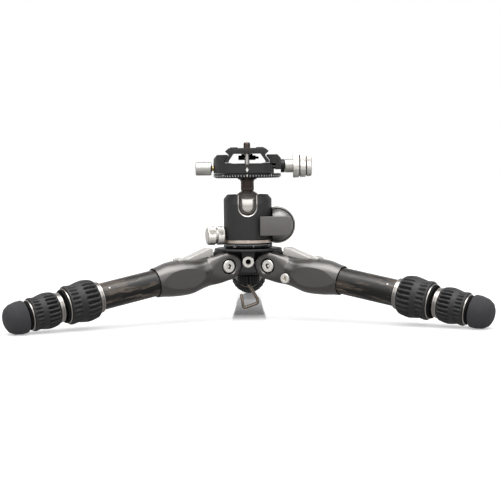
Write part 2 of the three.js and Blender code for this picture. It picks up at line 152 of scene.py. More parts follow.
class TripodStage(bpy.types.PropertyGroup):
    """Camera and light."""

    aside: FloatProperty(name="Camera aside",
                         description="How far the camera stands to the right of the hub's axis",
                         default=0.0016, unit="LENGTH")
    distance: FloatProperty(name="Camera distance", description="Distance from the hub's axis to the camera",
                            default=1.15, unit="LENGTH")
    height: FloatProperty(name="Camera height", description="Height of the camera over the floor",
                          default=0.13284, unit="LENGTH")
    pitch: FloatProperty(name="Camera pitch", description="How far the camera looks down",
                         default=math.radians(3.71), subtype="ANGLE", unit="ROTATION")
    roll: FloatProperty(name="Camera roll", description="How far the camera leans",
                        default=math.radians(-0.73), subtype="ANGLE", unit="ROTATION")
    lens: FloatProperty(name="Lens", description="Focal length in millimetres on a 36 mm sensor",
                        default=94.8)
    top_light: FloatProperty(name="Top light", description="Power of the softbox overhead", default=14.0)
    side_light: FloatProperty(name="Side light", description="Power of each softbox at the sides",
                              default=1.6)
    front_light: FloatProperty(name="Front light", description="Power of the softbox by the camera",
                               default=4.0)
    fill: FloatProperty(name="Fill", description="Strength of the plain light from all sides", default=0.28)
    roof: FloatProperty(name="Roof", description="How bright the studio's roof looks in polished metal",
                        default=0.1)


GROUPS = (
    ("tripod_legs", TripodLegs), ("tripod_head", TripodHead), ("tripod_clamp", TripodClamp),
    ("tripod_finishes", TripodFinishes), ("tripod_stage", TripodStage),
)

# ---------------------------------------------------------------- places


def home(origin, along, up=(0, 0, 1)):
    """From a piece's own millimetres, X along, Z nearest up, to metres in the frame."""
    x = Vector(along).normalized()
    y = Vector(up).cross(x).normalized()
    turn = Matrix((x, y, x.cross(y))).transposed().to_4x4()
    return Matrix.Translation(Vector(origin)) @ turn @ Matrix.Scale(MM, 4)


def leg_home(leg):
    """X along the leg's tube from its pivot, Y along the pivot screw, Z up."""
    fold = JOINTS[f"{leg}_fold"]
    return home(fold["pos_m"], JOINTS[f"{leg}_upper_lock_turn"]["axis"])


PIVOT_HEIGHT = 42.35
HUB_AXIS = Vector((*JOINTS["head_pan"]["pos_m"][:2], JOINTS["rear_fold"]["pos_m"][2] - PIVOT_HEIGHT * MM))
UPRIGHT = Matrix.Translation(HUB_AXIS) @ Matrix.Scale(MM, 4)
AXLE = home(HUB_AXIS, (0, 0, 1), (1, 0, 0))


def on_hub(point):
    """A point of the frame in the hub's own millimetres, in which the pivots are at PIVOT_HEIGHT."""
    return (Vector(point) - HUB_AXIS) / MM


def span(node, place, axis=0):
    """The lowest and highest place of a node along one axis of a piece's own frame, in millimetres."""
    back = place.inverted()
    found = [(back @ v.co)[axis] for v in frame["nodes"][node].data.vertices]
    return min(found), max(found)


# ---------------------------------------------------------------- meshes


def mesh_of(points, faces):
    """A mesh from points in millimetres, its doubles merged and its faces turned outwards."""
    shape = bmesh.new()
    corners = [shape.verts.new(p) for p in points]
    for face in faces:
        if len(set(face)) > 2:
            shape.faces.new([corners[i] for i in face])
    bmesh.ops.remove_doubles(shape, verts=shape.verts, dist=1e-5)
    bmesh.ops.recalc_face_normals(shape, faces=shape.faces)
    mesh = bpy.data.meshes.new("shape")
    shape.to_mesh(mesh)
    shape.free()
    return mesh


def eased(profile, radius=0.3, steps=3):
    """Rounds a profile's corners, with a point beside each rounding so that its flats shade flat."""
    made = [Vector(profile[0])]
    for before, corner, after in zip(profile, profile[1:], profile[2:]):
        before, corner, after = Vector(before), Vector(corner), Vector(after)
        back, on = before - corner, after - corner
        if min(back.length, on.length) < 1e-6 or abs(math.pi - back.angle(on)) < math.radians(14):
            made.append(corner)
            continue
        cut = min(radius, 0.36 * back.length, 0.36 * on.length)
        start, end = corner + back.normalized() * cut, corner + on.normalized() * cut
        made.append(start + back.normalized() * cut * 0.3)
        for i in range(steps + 1):
            t = i / steps
            made.append(start * (1 - t) ** 2 + corner * 2 * t * (1 - t) + end * t ** 2)
        made.append(end + on.normalized() * cut * 0.3)
    made.append(Vector(profile[-1]))
    return [tuple(p) for p in made]


def turned(profile, sides=96, radius=0.3, steps=3):
    """A turned piece round X: the profile is a list of places along the axis and radii."""
    if profile[0][1] > 0 or profile[-1][1] > 0:
        profile = [*profile, profile[0]]
    rows = eased(profile, radius, steps) if radius else profile
    turns = [(math.cos(2 * math.pi * k / sides), math.sin(2 * math.pi * k / sides)) for k in range(sides)]
    points = [(along, r * c, r * s) for along, r in rows for c, s in turns]
    faces = []
    for row in range(len(rows) - 1):
        for k in range(sides):
            a, b = row * sides + k, row * sides + (k + 1) % sides
            faces.append((a, b, b + sides, a + sides))
    return mesh_of(points, faces)


def rod(start, end, radius, sides, edge=0.0):
    """A plain round bar along X, which as a tool makes a bore."""
    return turned([(start, 0), (start, radius), (end, radius), (end, 0)], sides, edge)


def close_steps(profile, step):
    """Adds points to a profile so that none lie further apart than step."""
    made = [profile[0]]
    for a, b in zip(profile, profile[1:]):
        parts = max(1, math.ceil(math.dist(a, b) / step))
        made += [(a[0] + (b[0] - a[0]) * i / parts, a[1] + (b[1] - a[1]) * i / parts)
                 for i in range(1, parts + 1)]
    return made


def curve_through(table, place):
    """The row of a table at a place, on a smooth curve through its rows."""
    for i in range(len(table) - 1):
        if place <= table[i + 1][0] or i == len(table) - 2:
            break
    before, a, b, after = table[max(i - 1, 0)], table[i], table[i + 1], table[min(i + 2, len(table) - 1)]
    step = b[0] - a[0]
    t = min(max((place - a[0]) / step, 0), 1)
    row = []
    for k in range(1, len(a)):
        into = (b[k] - before[k]) / max(b[0] - before[0], 1e-6) * step
        out = (after[k] - a[k]) / max(after[0] - a[0], 1e-6) * step
        row.append((2 * t ** 3 - 3 * t ** 2 + 1) * a[k] + (t ** 3 - 2 * t ** 2 + t) * into
                   + (3 * t ** 2 - 2 * t ** 3) * b[k] + (t ** 3 - t ** 2) * out)
    return row


def arc(cx, cy, radius, start, end, steps=8):
    """Points on an arc, its angles in degrees."""
    angles = [math.radians(start + (end - start) * i / steps) for i in range(steps + 1)]
    return [(cx + radius * math.cos(a), cy + radius * math.sin(a)) for a in angles]


def prism(outline, low, high, axis="y", edge=0.0, segments=2):
    """An outline made solid from low to high along an axis; the outline gives the other two in order."""
    order = {"x": lambda p, h: (h, *p), "y": lambda p, h: (p[0], h, p[1]), "z": lambda p, h: (*p, h)}[axis]
    shape = bmesh.new()
    face = shape.faces.new([shape.verts.new(order(p, low)) for p in outline])
    grown = bmesh.ops.extrude_face_region(shape, geom=[face])
    move = Vector(order((0, 0), high - low))
    grown_verts = [v for v in grown["geom"] if isinstance(v, bmesh.types.BMVert)]
    bmesh.ops.translate(shape, verts=grown_verts, vec=move)
    bmesh.ops.recalc_face_normals(shape, faces=shape.faces)
    if edge:
        sharp = [e for e in shape.edges if e.calc_face_angle(0) > math.radians(20)]
        bmesh.ops.bevel(shape, geom=sharp, offset=edge, segments=segments, profile=0.5, affect="EDGES",
                        clamp_overlap=True)
    mesh = bpy.data.meshes.new("shape")
    shape.to_mesh(mesh)
    shape.free()
    return mesh


def block(x0, x1, y0, y1, z0, z1, edge=0.0):
    """A block between six planes."""
    return prism([(x0, z0), (x1, z0), (x1, z1), (x0, z1)], y0, y1, "y", edge)


def moved(mesh, matrix):
    """A copy of a mesh, moved."""
    copy = mesh.copy()
    copy.transform(matrix)
    return copy


def turned_up(mesh, at=(0, 0, 0)):
    """A turned piece stood on its end, its X pointing up."""
    return moved(mesh, Matrix.Translation(Vector(at)) @ Matrix.Rotation(-math.pi / 2, 4, "Y"))


def across(mesh, at=(0, 0, 0)):
    """A turned piece laid along Y."""
    return moved(mesh, Matrix.Translation(Vector(at)) @ Matrix.Rotation(math.pi / 2, 4, "Z"))


def raised(mesh, height):
    """A piece moved straight up."""
    return moved(mesh, Matrix.Translation((0, 0, height)))


def together(*meshes):
    """Several closed shells in one mesh."""
    shape = bmesh.new()
    for mesh in meshes:
        shape.from_mesh(mesh)
    joined = bpy.data.meshes.new("shape")
    shape.to_mesh(joined)
    shape.free()
    return joined


def holder(mesh):
    """A plain object that holds a mesh while modifiers work on it."""
    obj = bpy.data.objects.new("holder", mesh)
    bpy.context.scene.collection.objects.link(obj)
    return obj


def baked(obj):
    """The evaluated mesh of a holder, which is then removed."""
    graph = bpy.context.evaluated_depsgraph_get()
    mesh = bpy.data.meshes.new_from_object(obj.evaluated_get(graph))
    bpy.data.objects.remove(obj)
    return mesh


def carved(mesh, *steps):
    """A mesh after boolean steps, each an operation and a tool."""
    obj = holder(mesh)
    tools = []
    for operation, tool in steps:
        tools.append(holder(tool))
        step = obj.modifiers.new("step", "BOOLEAN")
        step.operation, step.object, step.solver = operation, tools[-1], "EXACT"
    made = baked(obj)
    for tool in tools:
        bpy.data.objects.remove(tool)
    if not made.polygons:
        raise RuntimeError("a boolean step left nothing")
    return made


def cut(*tools):
    """Boolean steps that take tools away."""
    return [("DIFFERENCE", tool) for tool in tools]


def place(mesh, name, where, body, slot, finish=None, nodes=(), under=SMOOTH_UNDER):
    """Sets a finished mesh in the frame as one piece, with its own coordinates kept for its finish."""
    mesh.validate()
    own = mesh.attributes.new("own_mm", "FLOAT_VECTOR", "POINT")
    own.data.foreach_set("vector", [c for v in mesh.vertices for c in v.co])
    mesh.transform(where)
    mesh.shade_smooth()
    mesh.set_sharp_from_angle(angle=under)
    mesh.materials.clear()
    mesh.materials.append(FINISHES[finish or slot])
    obj = bpy.data.objects.new(name, mesh)
    bpy.context.scene.collection.objects.link(obj)
    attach(obj, body)
    if nodes:
        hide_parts(*nodes)


# ---------------------------------------------------------------- node trees


def put(tree, kind, inputs=(), **settings):
    """Adds a node, sets it and joins its inputs."""
    node = tree.nodes.new(kind)
    node.location.x = 180 * len(tree.nodes)
    for key, value in settings.items():
        setattr(node, key, value)
    for key, value in (inputs.items() if isinstance(inputs, dict) else enumerate(inputs)):
        if isinstance(value, bpy.types.NodeSocket):
            tree.links.new(value, node.inputs[key])
        elif value is not None:
            node.inputs[key].default_value = value
    return node


def do(tree, operation, *inputs):
    """The result of a Math node."""
    return put(tree, "ShaderNodeMath", inputs, operation=operation).outputs[0]


def named_tree(name, kind, inputs, outputs):
    """A node group with named inputs and outputs: the tree, and its input and output nodes."""
    tree = bpy.data.node_groups.new(name, kind)
    for label, socket, default in inputs:
        made = tree.interface.new_socket(label, in_out="INPUT", socket_type=socket)
        if default is not None:
            made.default_value = default
    for label, socket in outputs:
        tree.interface.new_socket(label, in_out="OUTPUT", socket_type=socket)
    return tree, tree.nodes.new("NodeGroupInput"), tree.nodes.new("NodeGroupOutput")


def run_tree(mesh, tree, values):
    """Runs a geometry tree on a mesh with named input values, and gives back the finished mesh."""
    obj = holder(mesh)
    modifier = obj.modifiers.new("nodes", "NODES")
    modifier.node_group = tree
    sockets = {s.name: s.identifier for s in tree.interface.items_tree if s.in_out == "INPUT"}
    for label, value in values.items():
        modifier[sockets[label]] = value
    return baked(obj)


def flute_tree():
    """Grooves along a piece turned round X: deep between Start and End, fading over Fade."""
    tree, into, out = named_tree("Flutes", "GeometryNodeTree", [
        ("Geometry", "NodeSocketGeometry", None), ("Count", "NodeSocketInt", 24),
        ("Depth", "NodeSocketFloat", 1.0), ("Start", "NodeSocketFloat", 0.0),
        ("End", "NodeSocketFloat", 10.0), ("Fade", "NodeSocketFloat", 2.0),
        ("Width", "NodeSocketFloat", 2.0), ("Turn", "NodeSocketFloat", 0.0),
        ("Inner radius", "NodeSocketFloat", 0.0), ("Material", "NodeSocketMaterial", None),
    ], [("Geometry", "NodeSocketGeometry")])
    where = put(tree, "GeometryNodeInputPosition").outputs[0]
    x, y, z = put(tree, "ShaderNodeSeparateXYZ", [where]).outputs
    radius = do(tree, "SQRT", do(tree, "ADD", do(tree, "MULTIPLY", y, y), do(tree, "MULTIPLY", z, z)))
    angle = do(tree, "ADD", do(tree, "ARCTAN2", z, y), into.outputs["Turn"])
    wave = do(tree, "COSINE", do(tree, "MULTIPLY", angle, into.outputs["Count"]))
    groove = do(tree, "POWER", do(tree, "MULTIPLY_ADD", wave, 0.5, 0.5), into.outputs["Width"])
    fades = []
    for distance in (do(tree, "SUBTRACT", x, into.outputs["Start"]),
                     do(tree, "SUBTRACT", into.outputs["End"], x)):
        fades.append(put(tree, "ShaderNodeMapRange", {"Value": distance, "From Max": into.outputs["Fade"]},
                         interpolation_type="SMOOTHSTEP").outputs[0])
    outside = do(tree, "GREATER_THAN", radius, into.outputs["Inner radius"])
    depth = do(tree, "MULTIPLY", groove, do(tree, "MULTIPLY", fades[0], fades[1]))
    depth = do(tree, "MULTIPLY", do(tree, "MULTIPLY", depth, into.outputs["Depth"]), outside)
    inward = do(tree, "DIVIDE", do(tree, "MULTIPLY", depth, -1), do(tree, "MAXIMUM", radius, 0.01))
    offset = put(tree, "ShaderNodeCombineXYZ", [
        None, do(tree, "MULTIPLY", y, inward), do(tree, "MULTIPLY", z, inward)])
    shaped = put(tree, "GeometryNodeSetPosition", {
        "Geometry": into.outputs["Geometry"], "Offset": offset.outputs[0]})
    real = put(tree, "GeometryNodeRealizeInstances", [shaped.outputs[0]])
    faced = put(tree, "GeometryNodeSetMaterial", {
        "Geometry": real.outputs[0], "Material": into.outputs["Material"]})
    tree.links.new(faced.outputs[0], out.inputs[0])
    return tree


MARK_DEPTH = 0.16


def mark_tree():
    """Painted marks round a ring turned round X, with every few longer than the rest."""
    tree, into, out = named_tree("Ring marks", "GeometryNodeTree", [
        ("Geometry", "NodeSocketGeometry", None), ("Count", "NodeSocketInt", 72),
        ("Long every", "NodeSocketInt", 9), ("Radius", "NodeSocketFloat", 29.0),
        ("Base", "NodeSocketFloat", 0.0), ("Length", "NodeSocketFloat", 1.0),
        ("Long length", "NodeSocketFloat", 2.0), ("Width", "NodeSocketFloat", 0.4),
        ("Turn", "NodeSocketFloat", 0.0), ("Material", "NodeSocketMaterial", None),
    ], [("Geometry", "NodeSocketGeometry")])
    line = put(tree, "GeometryNodeMeshLine", {"Count": into.outputs["Count"], "Offset": (0, 0, 0)})
    index = put(tree, "GeometryNodeInputIndex").outputs[0]
    step = do(tree, "DIVIDE", 2 * math.pi, into.outputs["Count"])
    angle = do(tree, "MULTIPLY_ADD", index, step, into.outputs["Turn"])
    is_long = do(tree, "LESS_THAN", do(tree, "MODULO", index, into.outputs["Long every"]), 0.5)
    more = do(tree, "SUBTRACT", into.outputs["Long length"], into.outputs["Length"])
    size = do(tree, "MULTIPLY_ADD", is_long, more, into.outputs["Length"])
    middle = do(tree, "MULTIPLY_ADD", size, 0.5, into.outputs["Base"])
    spots = [do(tree, "MULTIPLY", do(tree, turn, angle), into.outputs["Radius"])
             for turn in ("COSINE", "SINE")]
    spot = put(tree, "ShaderNodeCombineXYZ", [middle, *spots]).outputs[0]
    points = put(tree, "GeometryNodeSetPosition", {"Geometry": line.outputs[0], "Position": spot})
    mark = put(tree, "GeometryNodeMeshCube", {"Size": (1, 1, 1)})
    lean = put(tree, "FunctionNodeEulerToRotation", [put(tree, "ShaderNodeCombineXYZ", [angle]).outputs[0]])
    wide = do(tree, "MULTIPLY", do(tree, "MULTIPLY_ADD", is_long, 0.5, 1.0), into.outputs["Width"])
    marks = put(tree, "GeometryNodeInstanceOnPoints", {
        "Points": points.outputs[0], "Instance": mark.outputs[0], "Rotation": lean.outputs[0],
        "Scale": put(tree, "ShaderNodeCombineXYZ", [size, MARK_DEPTH, wide]).outputs[0]})
    real = put(tree, "GeometryNodeRealizeInstances", [marks.outputs[0]])
    faced = put(tree, "GeometryNodeSetMaterial", {
        "Geometry": real.outputs[0], "Material": into.outputs["Material"]})
    tree.links.new(faced.outputs[0], out.inputs[0])
    return tree


def tube_tree():
    """A round tube along X between Start and End, closed at both ends."""
    tree, into, out = named_tree("Tube", "GeometryNodeTree", [
        ("Geometry", "NodeSocketGeometry", None), ("Start", "NodeSocketFloat", 0.0),
        ("End", "NodeSocketFloat", 100.0), ("Radius", "NodeSocketFloat", 11.0),
        ("Sides", "NodeSocketInt", 96), ("Material", "NodeSocketMaterial", None),
    ], [("Geometry", "NodeSocketGeometry")])
    ends = [put(tree, "ShaderNodeCombineXYZ", [into.outputs[label]]).outputs[0] for label in ("Start", "End")]
    line = put(tree, "GeometryNodeCurvePrimitiveLine", {"Start": ends[0], "End": ends[1]})
    fine = put(tree, "GeometryNodeResampleCurve", {"Curve": line.outputs[0], "Count": 24})
    ring = put(tree, "GeometryNodeCurvePrimitiveCircle",
               {"Resolution": into.outputs["Sides"], "Radius": into.outputs["Radius"]})
    wall = put(tree, "GeometryNodeCurveToMesh",
               {"Curve": fine.outputs[0], "Profile Curve": ring.outputs[0], "Fill Caps": True})
    real = put(tree, "GeometryNodeRealizeInstances", [wall.outputs[0]])
    faced = put(tree, "GeometryNodeSetMaterial", {
        "Geometry": real.outputs[0], "Material": into.outputs["Material"]})
    tree.links.new(faced.outputs[0], out.inputs[0])
    return tree


# ---------------------------------------------------------------- shader groups


def mixed(tree, factor, a, b, blend="MIX"):
    """The colour from a Mix node."""
    return put(tree, "ShaderNodeMix", {0: factor, 6: a, 7: b}, data_type="RGBA", blend_type=blend).outputs[2]


def noise(tree, where, scale, detail=3.0, rough=0.55, stretch=None):
    """A noise value."""
    if stretch:
        where = put(tree, "ShaderNodeVectorMath", [where, stretch], operation="MULTIPLY").outputs[0]
    return put(tree, "ShaderNodeTexNoise",
               {"Vector": where, "Scale": scale, "Detail": detail, "Roughness": rough},
               noise_dimensions="3D").outputs[0]


def spread(tree, value, low, high, to_low=0.0, to_high=1.0):
    """A value's range, stretched and clamped."""
    return put(tree, "ShaderNodeMapRange", [value, low, high, to_low, to_high]).outputs[0]


def surface_group():
    """Fine grain, slow drift of tone and edges rubbed lighter, partly wear and partly a painted edge
    highlight: colour, roughness and height for any finish.
    """
    tree, into, out = named_tree("Surface", "ShaderNodeTree", [
        ("Where", "NodeSocketVector", None), ("Colour", "NodeSocketColor", None),
        ("Rub", "NodeSocketColor", None), ("Roughness", "NodeSocketFloat", 0.4),
        ("Grain size", "NodeSocketFloat", 2.0), ("Grain", "NodeSocketFloat", 0.1),
        ("Drift", "NodeSocketFloat", 0.1), ("Wear and highlight", "NodeSocketFloat", 0.0),
    ], [("Colour", "NodeSocketColor"), ("Roughness", "NodeSocketFloat"), ("Height", "NodeSocketFloat")])
    where = into.outputs["Where"]
    grain = noise(tree, where, into.outputs["Grain size"], 2.0, 0.6)
    slow = noise(tree, where, 0.06, 3.0, 0.5)
    smudge = noise(tree, where, 0.35, 5.0, 0.65)
    tone = do(tree, "MULTIPLY", do(tree, "SUBTRACT", slow, 0.5), into.outputs["Drift"])
    speck = do(tree, "MULTIPLY", do(tree, "SUBTRACT", grain, 0.5), into.outputs["Grain"])
    gain = do(tree, "ADD", 1.0, do(tree, "ADD", do(tree, "MULTIPLY", tone, 2.0), speck))
    toned = put(tree, "ShaderNodeVectorMath", {0: into.outputs["Colour"], "Scale": gain}, operation="SCALE")
    geometry = put(tree, "ShaderNodeNewGeometry")
    round_edge = put(tree, "ShaderNodeBevel", {"Radius": 0.0005}, samples=6)
    aligned = put(tree, "ShaderNodeVectorMath", [round_edge.outputs[0], geometry.outputs["Normal"]],
                  operation="DOT_PRODUCT").outputs["Value"]
    # Edges rubbed lighter: wear, and also a painted highlight along the edges.
    wear_and_edge_highlight = do(tree, "MULTIPLY", spread(tree, aligned, 0.985, 0.86), spread(tree, smudge, 0.3, 0.6))
    wear_and_edge_highlight = do(tree, "MULTIPLY", wear_and_edge_highlight, into.outputs["Wear and highlight"])
    tree.links.new(mixed(tree, wear_and_edge_highlight, toned.outputs[0], into.outputs["Rub"]), out.inputs["Colour"])
    rough = do(tree, "ADD", into.outputs["Roughness"],
               do(tree, "MULTIPLY", do(tree, "SUBTRACT", smudge, 0.5), into.outputs["Drift"]))
    tree.links.new(do(tree, "ADD", rough, do(tree, "MULTIPLY", speck, 0.3)), out.inputs["Roughness"])
    tree.links.new(grain, out.inputs["Height"])
    return tree


def turning_group():
    """The fine lines that a lathe leaves round X: a height and a tone."""
    tree, into, out = named_tree("Turning lines", "ShaderNodeTree", [
        ("Where", "NodeSocketVector", None), ("Pitch", "NodeSocketFloat", 9.0),
    ], [("Height", "NodeSocketFloat"), ("Tone", "NodeSocketFloat")])
    x, y, z = put(tree, "ShaderNodeSeparateXYZ", [into.outputs["Where"]]).outputs
    radius = do(tree, "SQRT", do(tree, "ADD", do(tree, "MULTIPLY", y, y), do(tree, "MULTIPLY", z, z)))
    flat = put(tree, "ShaderNodeCombineXYZ", [x, radius]).outputs[0]
    lines = noise(tree, flat, into.outputs["Pitch"], 2.0, 0.7)
    tree.links.new(lines, out.inputs["Height"])
    tree.links.new(noise(tree, flat, 1.7, 3.0, 0.6), out.inputs["Tone"])
    return tree


def carbon_group():
    """Marbled carbon: flakes and streaks that lie along X."""
    tree, into, out = named_tree("Marbled carbon", "ShaderNodeTree", [
        ("Where", "NodeSocketVector", None), ("Dark", "NodeSocketColor", None),
        ("Light", "NodeSocketColor", None),
    ], [("Colour", "NodeSocketColor"), ("Height", "NodeSocketFloat"), ("Roughness", "NodeSocketFloat")])
    where = into.outputs["Where"]
    bend = put(tree, "ShaderNodeTexNoise", {"Vector": where, "Scale": 0.06, "Detail": 2.0}).outputs[1]
    shift = put(tree, "ShaderNodeVectorMath", {0: bend, 1: (14, 5, 5), 2: where},
                operation="MULTIPLY_ADD").outputs[0]
    streak = noise(tree, shift, 1.0, 4.0, 0.6, (0.03, 0.26, 0.26))
    fine = noise(tree, shift, 1.0, 3.0, 0.6, (0.16, 1.1, 1.1))
    band = spread(tree, streak, 0.5, 0.62)
    band = do(tree, "MULTIPLY", band, spread(tree, fine, 0.32, 0.62, 0.45, 1.0))
    colour = mixed(tree, band, into.outputs["Dark"], into.outputs["Light"])
    tree.links.new(colour, out.inputs["Colour"])
    tree.links.new(fine, out.inputs["Height"])
    tree.links.new(spread(tree, streak, 0.3, 0.7, 0.34, 0.22), out.inputs["Roughness"])
    return tree


GROUP = {}
FINISHES = {}
BUMP_DISTANCE = 0.0002


def new_material(name):
    """A new node material, with its tree and its Principled BSDF."""
    material = bpy.data.materials.new(name)
    material.use_nodes = True
    tree = material.node_tree
    bsdf = tree.nodes["Principled BSDF"]
    return material, tree, bsdf


def own_place(tree, on_cad=False):
    """Coordinates in millimetres: the piece's own, or the object's on a node kept from the frame."""
    if on_cad:
        where = put(tree, "ShaderNodeTexCoord").outputs["Object"]
        return put(tree, "ShaderNodeVectorMath", {0: where, "Scale": 1 / MM}, operation="SCALE").outputs[0]
    return put(tree, "ShaderNodeAttribute", attribute_name="own_mm").outputs["Vector"]


def shared(tree, name, inputs):
    """Places one of the shader groups and gives its outputs."""
    return put(tree, "ShaderNodeGroup", inputs, node_tree=GROUP[name]).outputs


def finish(name, colour, metallic=0.0, roughness=0.4, grain=0.1, size=2.0, bump=0.05, drift=0.1, wear_and_highlight=0.0,
           lines=0.0, coat=0.0, specular=0.5, on_cad=False):
    """Makes one finish from a colour and the shared surface group."""
    material, tree, bsdf = new_material(name)
    where = own_place(tree, on_cad)
    colour = tuple(colour)
    # The rubbed colour is lighter: edge wear and a painted edge highlight.
    worn_and_highlit = tuple(min(1.0, c * 2.2 + 0.05) for c in colour)
    made = shared(tree, "surface", {
        "Where": where, "Colour": (*colour, 1), "Rub": (*worn_and_highlit, 1), "Roughness": roughness, "Grain size": size,
        "Grain": grain, "Drift": drift, "Wear and highlight": wear_and_highlight})
    base, height = made["Colour"], made["Height"]
    if lines:
        turning = shared(tree, "turning", {"Where": where})
        tone = spread(tree, turning["Tone"], 0.2, 0.8, 0.55, 1.25)
        base = mixed(tree, lines, base, mixed(tree, 1.0, base, tone, "MULTIPLY"))
        height = do(tree, "MULTIPLY_ADD", turning["Height"], 2.0, height)
    tree.links.new(base, bsdf.inputs["Base Color"])
    tree.links.new(made["Roughness"], bsdf.inputs["Roughness"])
    bump_node = put(tree, "ShaderNodeBump", {"Strength": bump, "Distance": BUMP_DISTANCE, "Height": height})
    tree.links.new(bump_node.outputs[0], bsdf.inputs["Normal"])
    bsdf.inputs["Metallic"].default_value = metallic
    bsdf.inputs["Coat Weight"].default_value = coat
    bsdf.inputs["Coat Roughness"].default_value = 0.12
    bsdf.inputs["Specular IOR Level"].default_value = specular
    FINISHES[name] = material


def carbon_finish(name, dark, light):
    """Makes the thinly coated marbled carbon of the leg tubes."""
    material, tree, bsdf = new_material(name)
    where = own_place(tree)
    made = shared(tree, "carbon", {"Where": where, "Dark": (*dark, 1), "Light": (*light, 1)})
    tree.links.new(made["Colour"], bsdf.inputs["Base Color"])
    tree.links.new(made["Roughness"], bsdf.inputs["Roughness"])
    bump_node = put(tree, "ShaderNodeBump", {
        "Strength": 0.06, "Distance": BUMP_DISTANCE, "Height": made["Height"]})
    tree.links.new(bump_node.outputs[0], bsdf.inputs["Normal"])
    bsdf.inputs["Metallic"].default_value = 0.0
    bsdf.inputs["Specular IOR Level"].default_value = 0.35
    bsdf.inputs["Coat Weight"].default_value = 0.08
    bsdf.inputs["Coat Roughness"].default_value = 0.08
    FINISHES[name] = material


class TRIPOD_OT_finishes(bpy.types.Operator):
    """Makes the shared node groups and every finish"""

    bl_idname = "tripod.finishes"
    bl_label = "Finishes"

    def execute(self, context):
        GROUP.update(surface=surface_group(), turning=turning_group(), carbon=carbon_group(),
                     flutes=flute_tree(), marks=mark_tree(), tube=tube_tree())
        c = context.scene.tripod_finishes
        finish("casting_grey", c.casting, 0.6, 0.31, grain=0.18, size=3.2, bump=0.08, drift=0.05, wear_and_highlight=0.8,
               coat=0.8)
        finish("body_charcoal", c.body, 0.25, 0.48, grain=0.3, size=4.0, bump=0.16, drift=0.08, wear_and_highlight=0.6,
               specular=0.25)
        # Painted shade: a matt black for the insides of recesses, gaps and grooves, where shade falls; the
        # plate's screw head and folding ring, inside the plate's arch, wear it too.
        finish("painted_shade_black", c.recess, 0.0, 0.8, specular=0.15)
        finish("scale_black", c.black, 0.4, 0.38, grain=0.2, size=4.0, bump=0.1, drift=0.08, wear_and_highlight=0.3)
        carbon_finish("carbon", c.carbon_dark, c.carbon_light)
        finish("grip_rubber", c.rubber, 0.0, 0.58, grain=1.0, size=1.6, bump=1.0, drift=0.12, wear_and_highlight=0.15)
        finish("foot_rubber", c.foot, 0.0, 0.82, grain=0.25, size=3.0, bump=0.25, drift=0.1)
        finish("satin_silver", c.silver, 1.0, 0.3, grain=0.05, drift=0.08, lines=0.3)
        finish("machined_ring", c.ring, 1.0, 0.22, grain=0.05, drift=0.06, lines=0.5)
        finish("tab_alloy", c.silver, 0.35, 0.35, grain=0.08, drift=0.06)
        finish("steel", c.steel, 0.7, 0.2, grain=0.04, drift=0.06, lines=0.2)
        finish("ball_chrome", c.ball, 0.75, 0.17, grain=0.0, bump=0.0, drift=0.03)
        finish("stem_gunmetal", c.stem, 1.0, 0.22, grain=0.05, drift=0.05)
        finish("bronze_ring", c.bronze, 0.9, 0.34, grain=0.08, drift=0.06, lines=0.3)
        finish("hook_nickel", c.hook, 1.0, 0.24, grain=0.05, drift=0.15)
        finish("lock_grey", c.lock, 0.8, 0.5, grain=0.12, size=3.5, bump=0.06, drift=0.06)
        finish("lever_grey", c.lever, 0.4, 0.45, grain=0.2, size=3.5, bump=0.08, drift=0.06, wear_and_highlight=0.5)
        finish("brass", c.brass, 1.0, 0.3, grain=0.05, drift=0.08, lines=0.3)
        finish("pad_rubber", c.pad, 0.0, 0.8, grain=0.4, size=2.5, bump=0.4)
        finish("paint_white", c.paint, 0.0, 0.5, grain=0.05, drift=0.05)
        # The brass inside finish takes the darkened cup colour, a painted shade; the steel inside finish
        # keeps the plain steel colour.
        for slot, colour, metallic, rough in (("steel", c.steel, 1.0, 0.22), ("brass", c.cup, 1.0, 0.4)):
            finish(f"{slot}_inside", colour, metallic, rough, on_cad=True)
        return {"FINISHED"}


# ---------------------------------------------------------------- legs

# The leg casting's sections: place along the leg, centre height, half height, half width, squareness.
CASTING_SECTIONS = (
    (0, 0.0, 12.2, 12.8, 8.0), (4, -0.3, 12.25, 12.75, 7.0), (9, -0.9, 12.5, 12.55, 4.5),
    (16, -1.1, 12.85, 12.3, 2.3), (20, -1.2, 13.2, 12.8, 2.05), (24, -1.3, 13.7, 13.45, 2.0),
    (30, -1.45, 14.7, 14.6, 2.0), (35, -1.5, 15.3, 15.3, 2.0), (43, -0.9, 15.5, 15.5, 2.0),
    (53, -0.2, 14.8, 14.8, 2.0), (61, 0.0, 13.3, 13.3, 2.0), (65.9, 0.0, 12.6, 12.6, 2.0),
)
CASTING_BOSS = 12.2
CASTING_HALF_WIDTH = 12.8
CASTING_END = 65.9
FACET_START, FACET_END = 15, 70
FACET_HALF_WIDTH = 13.5
LEG_PORT = (18.5, -7.0)
RECESS_RADIUS = 6.7
RECESS_DEPTH = 2.6
RECESS_CHAMFER = 0.75
BOLT_HOLE_RADIUS = 3.8


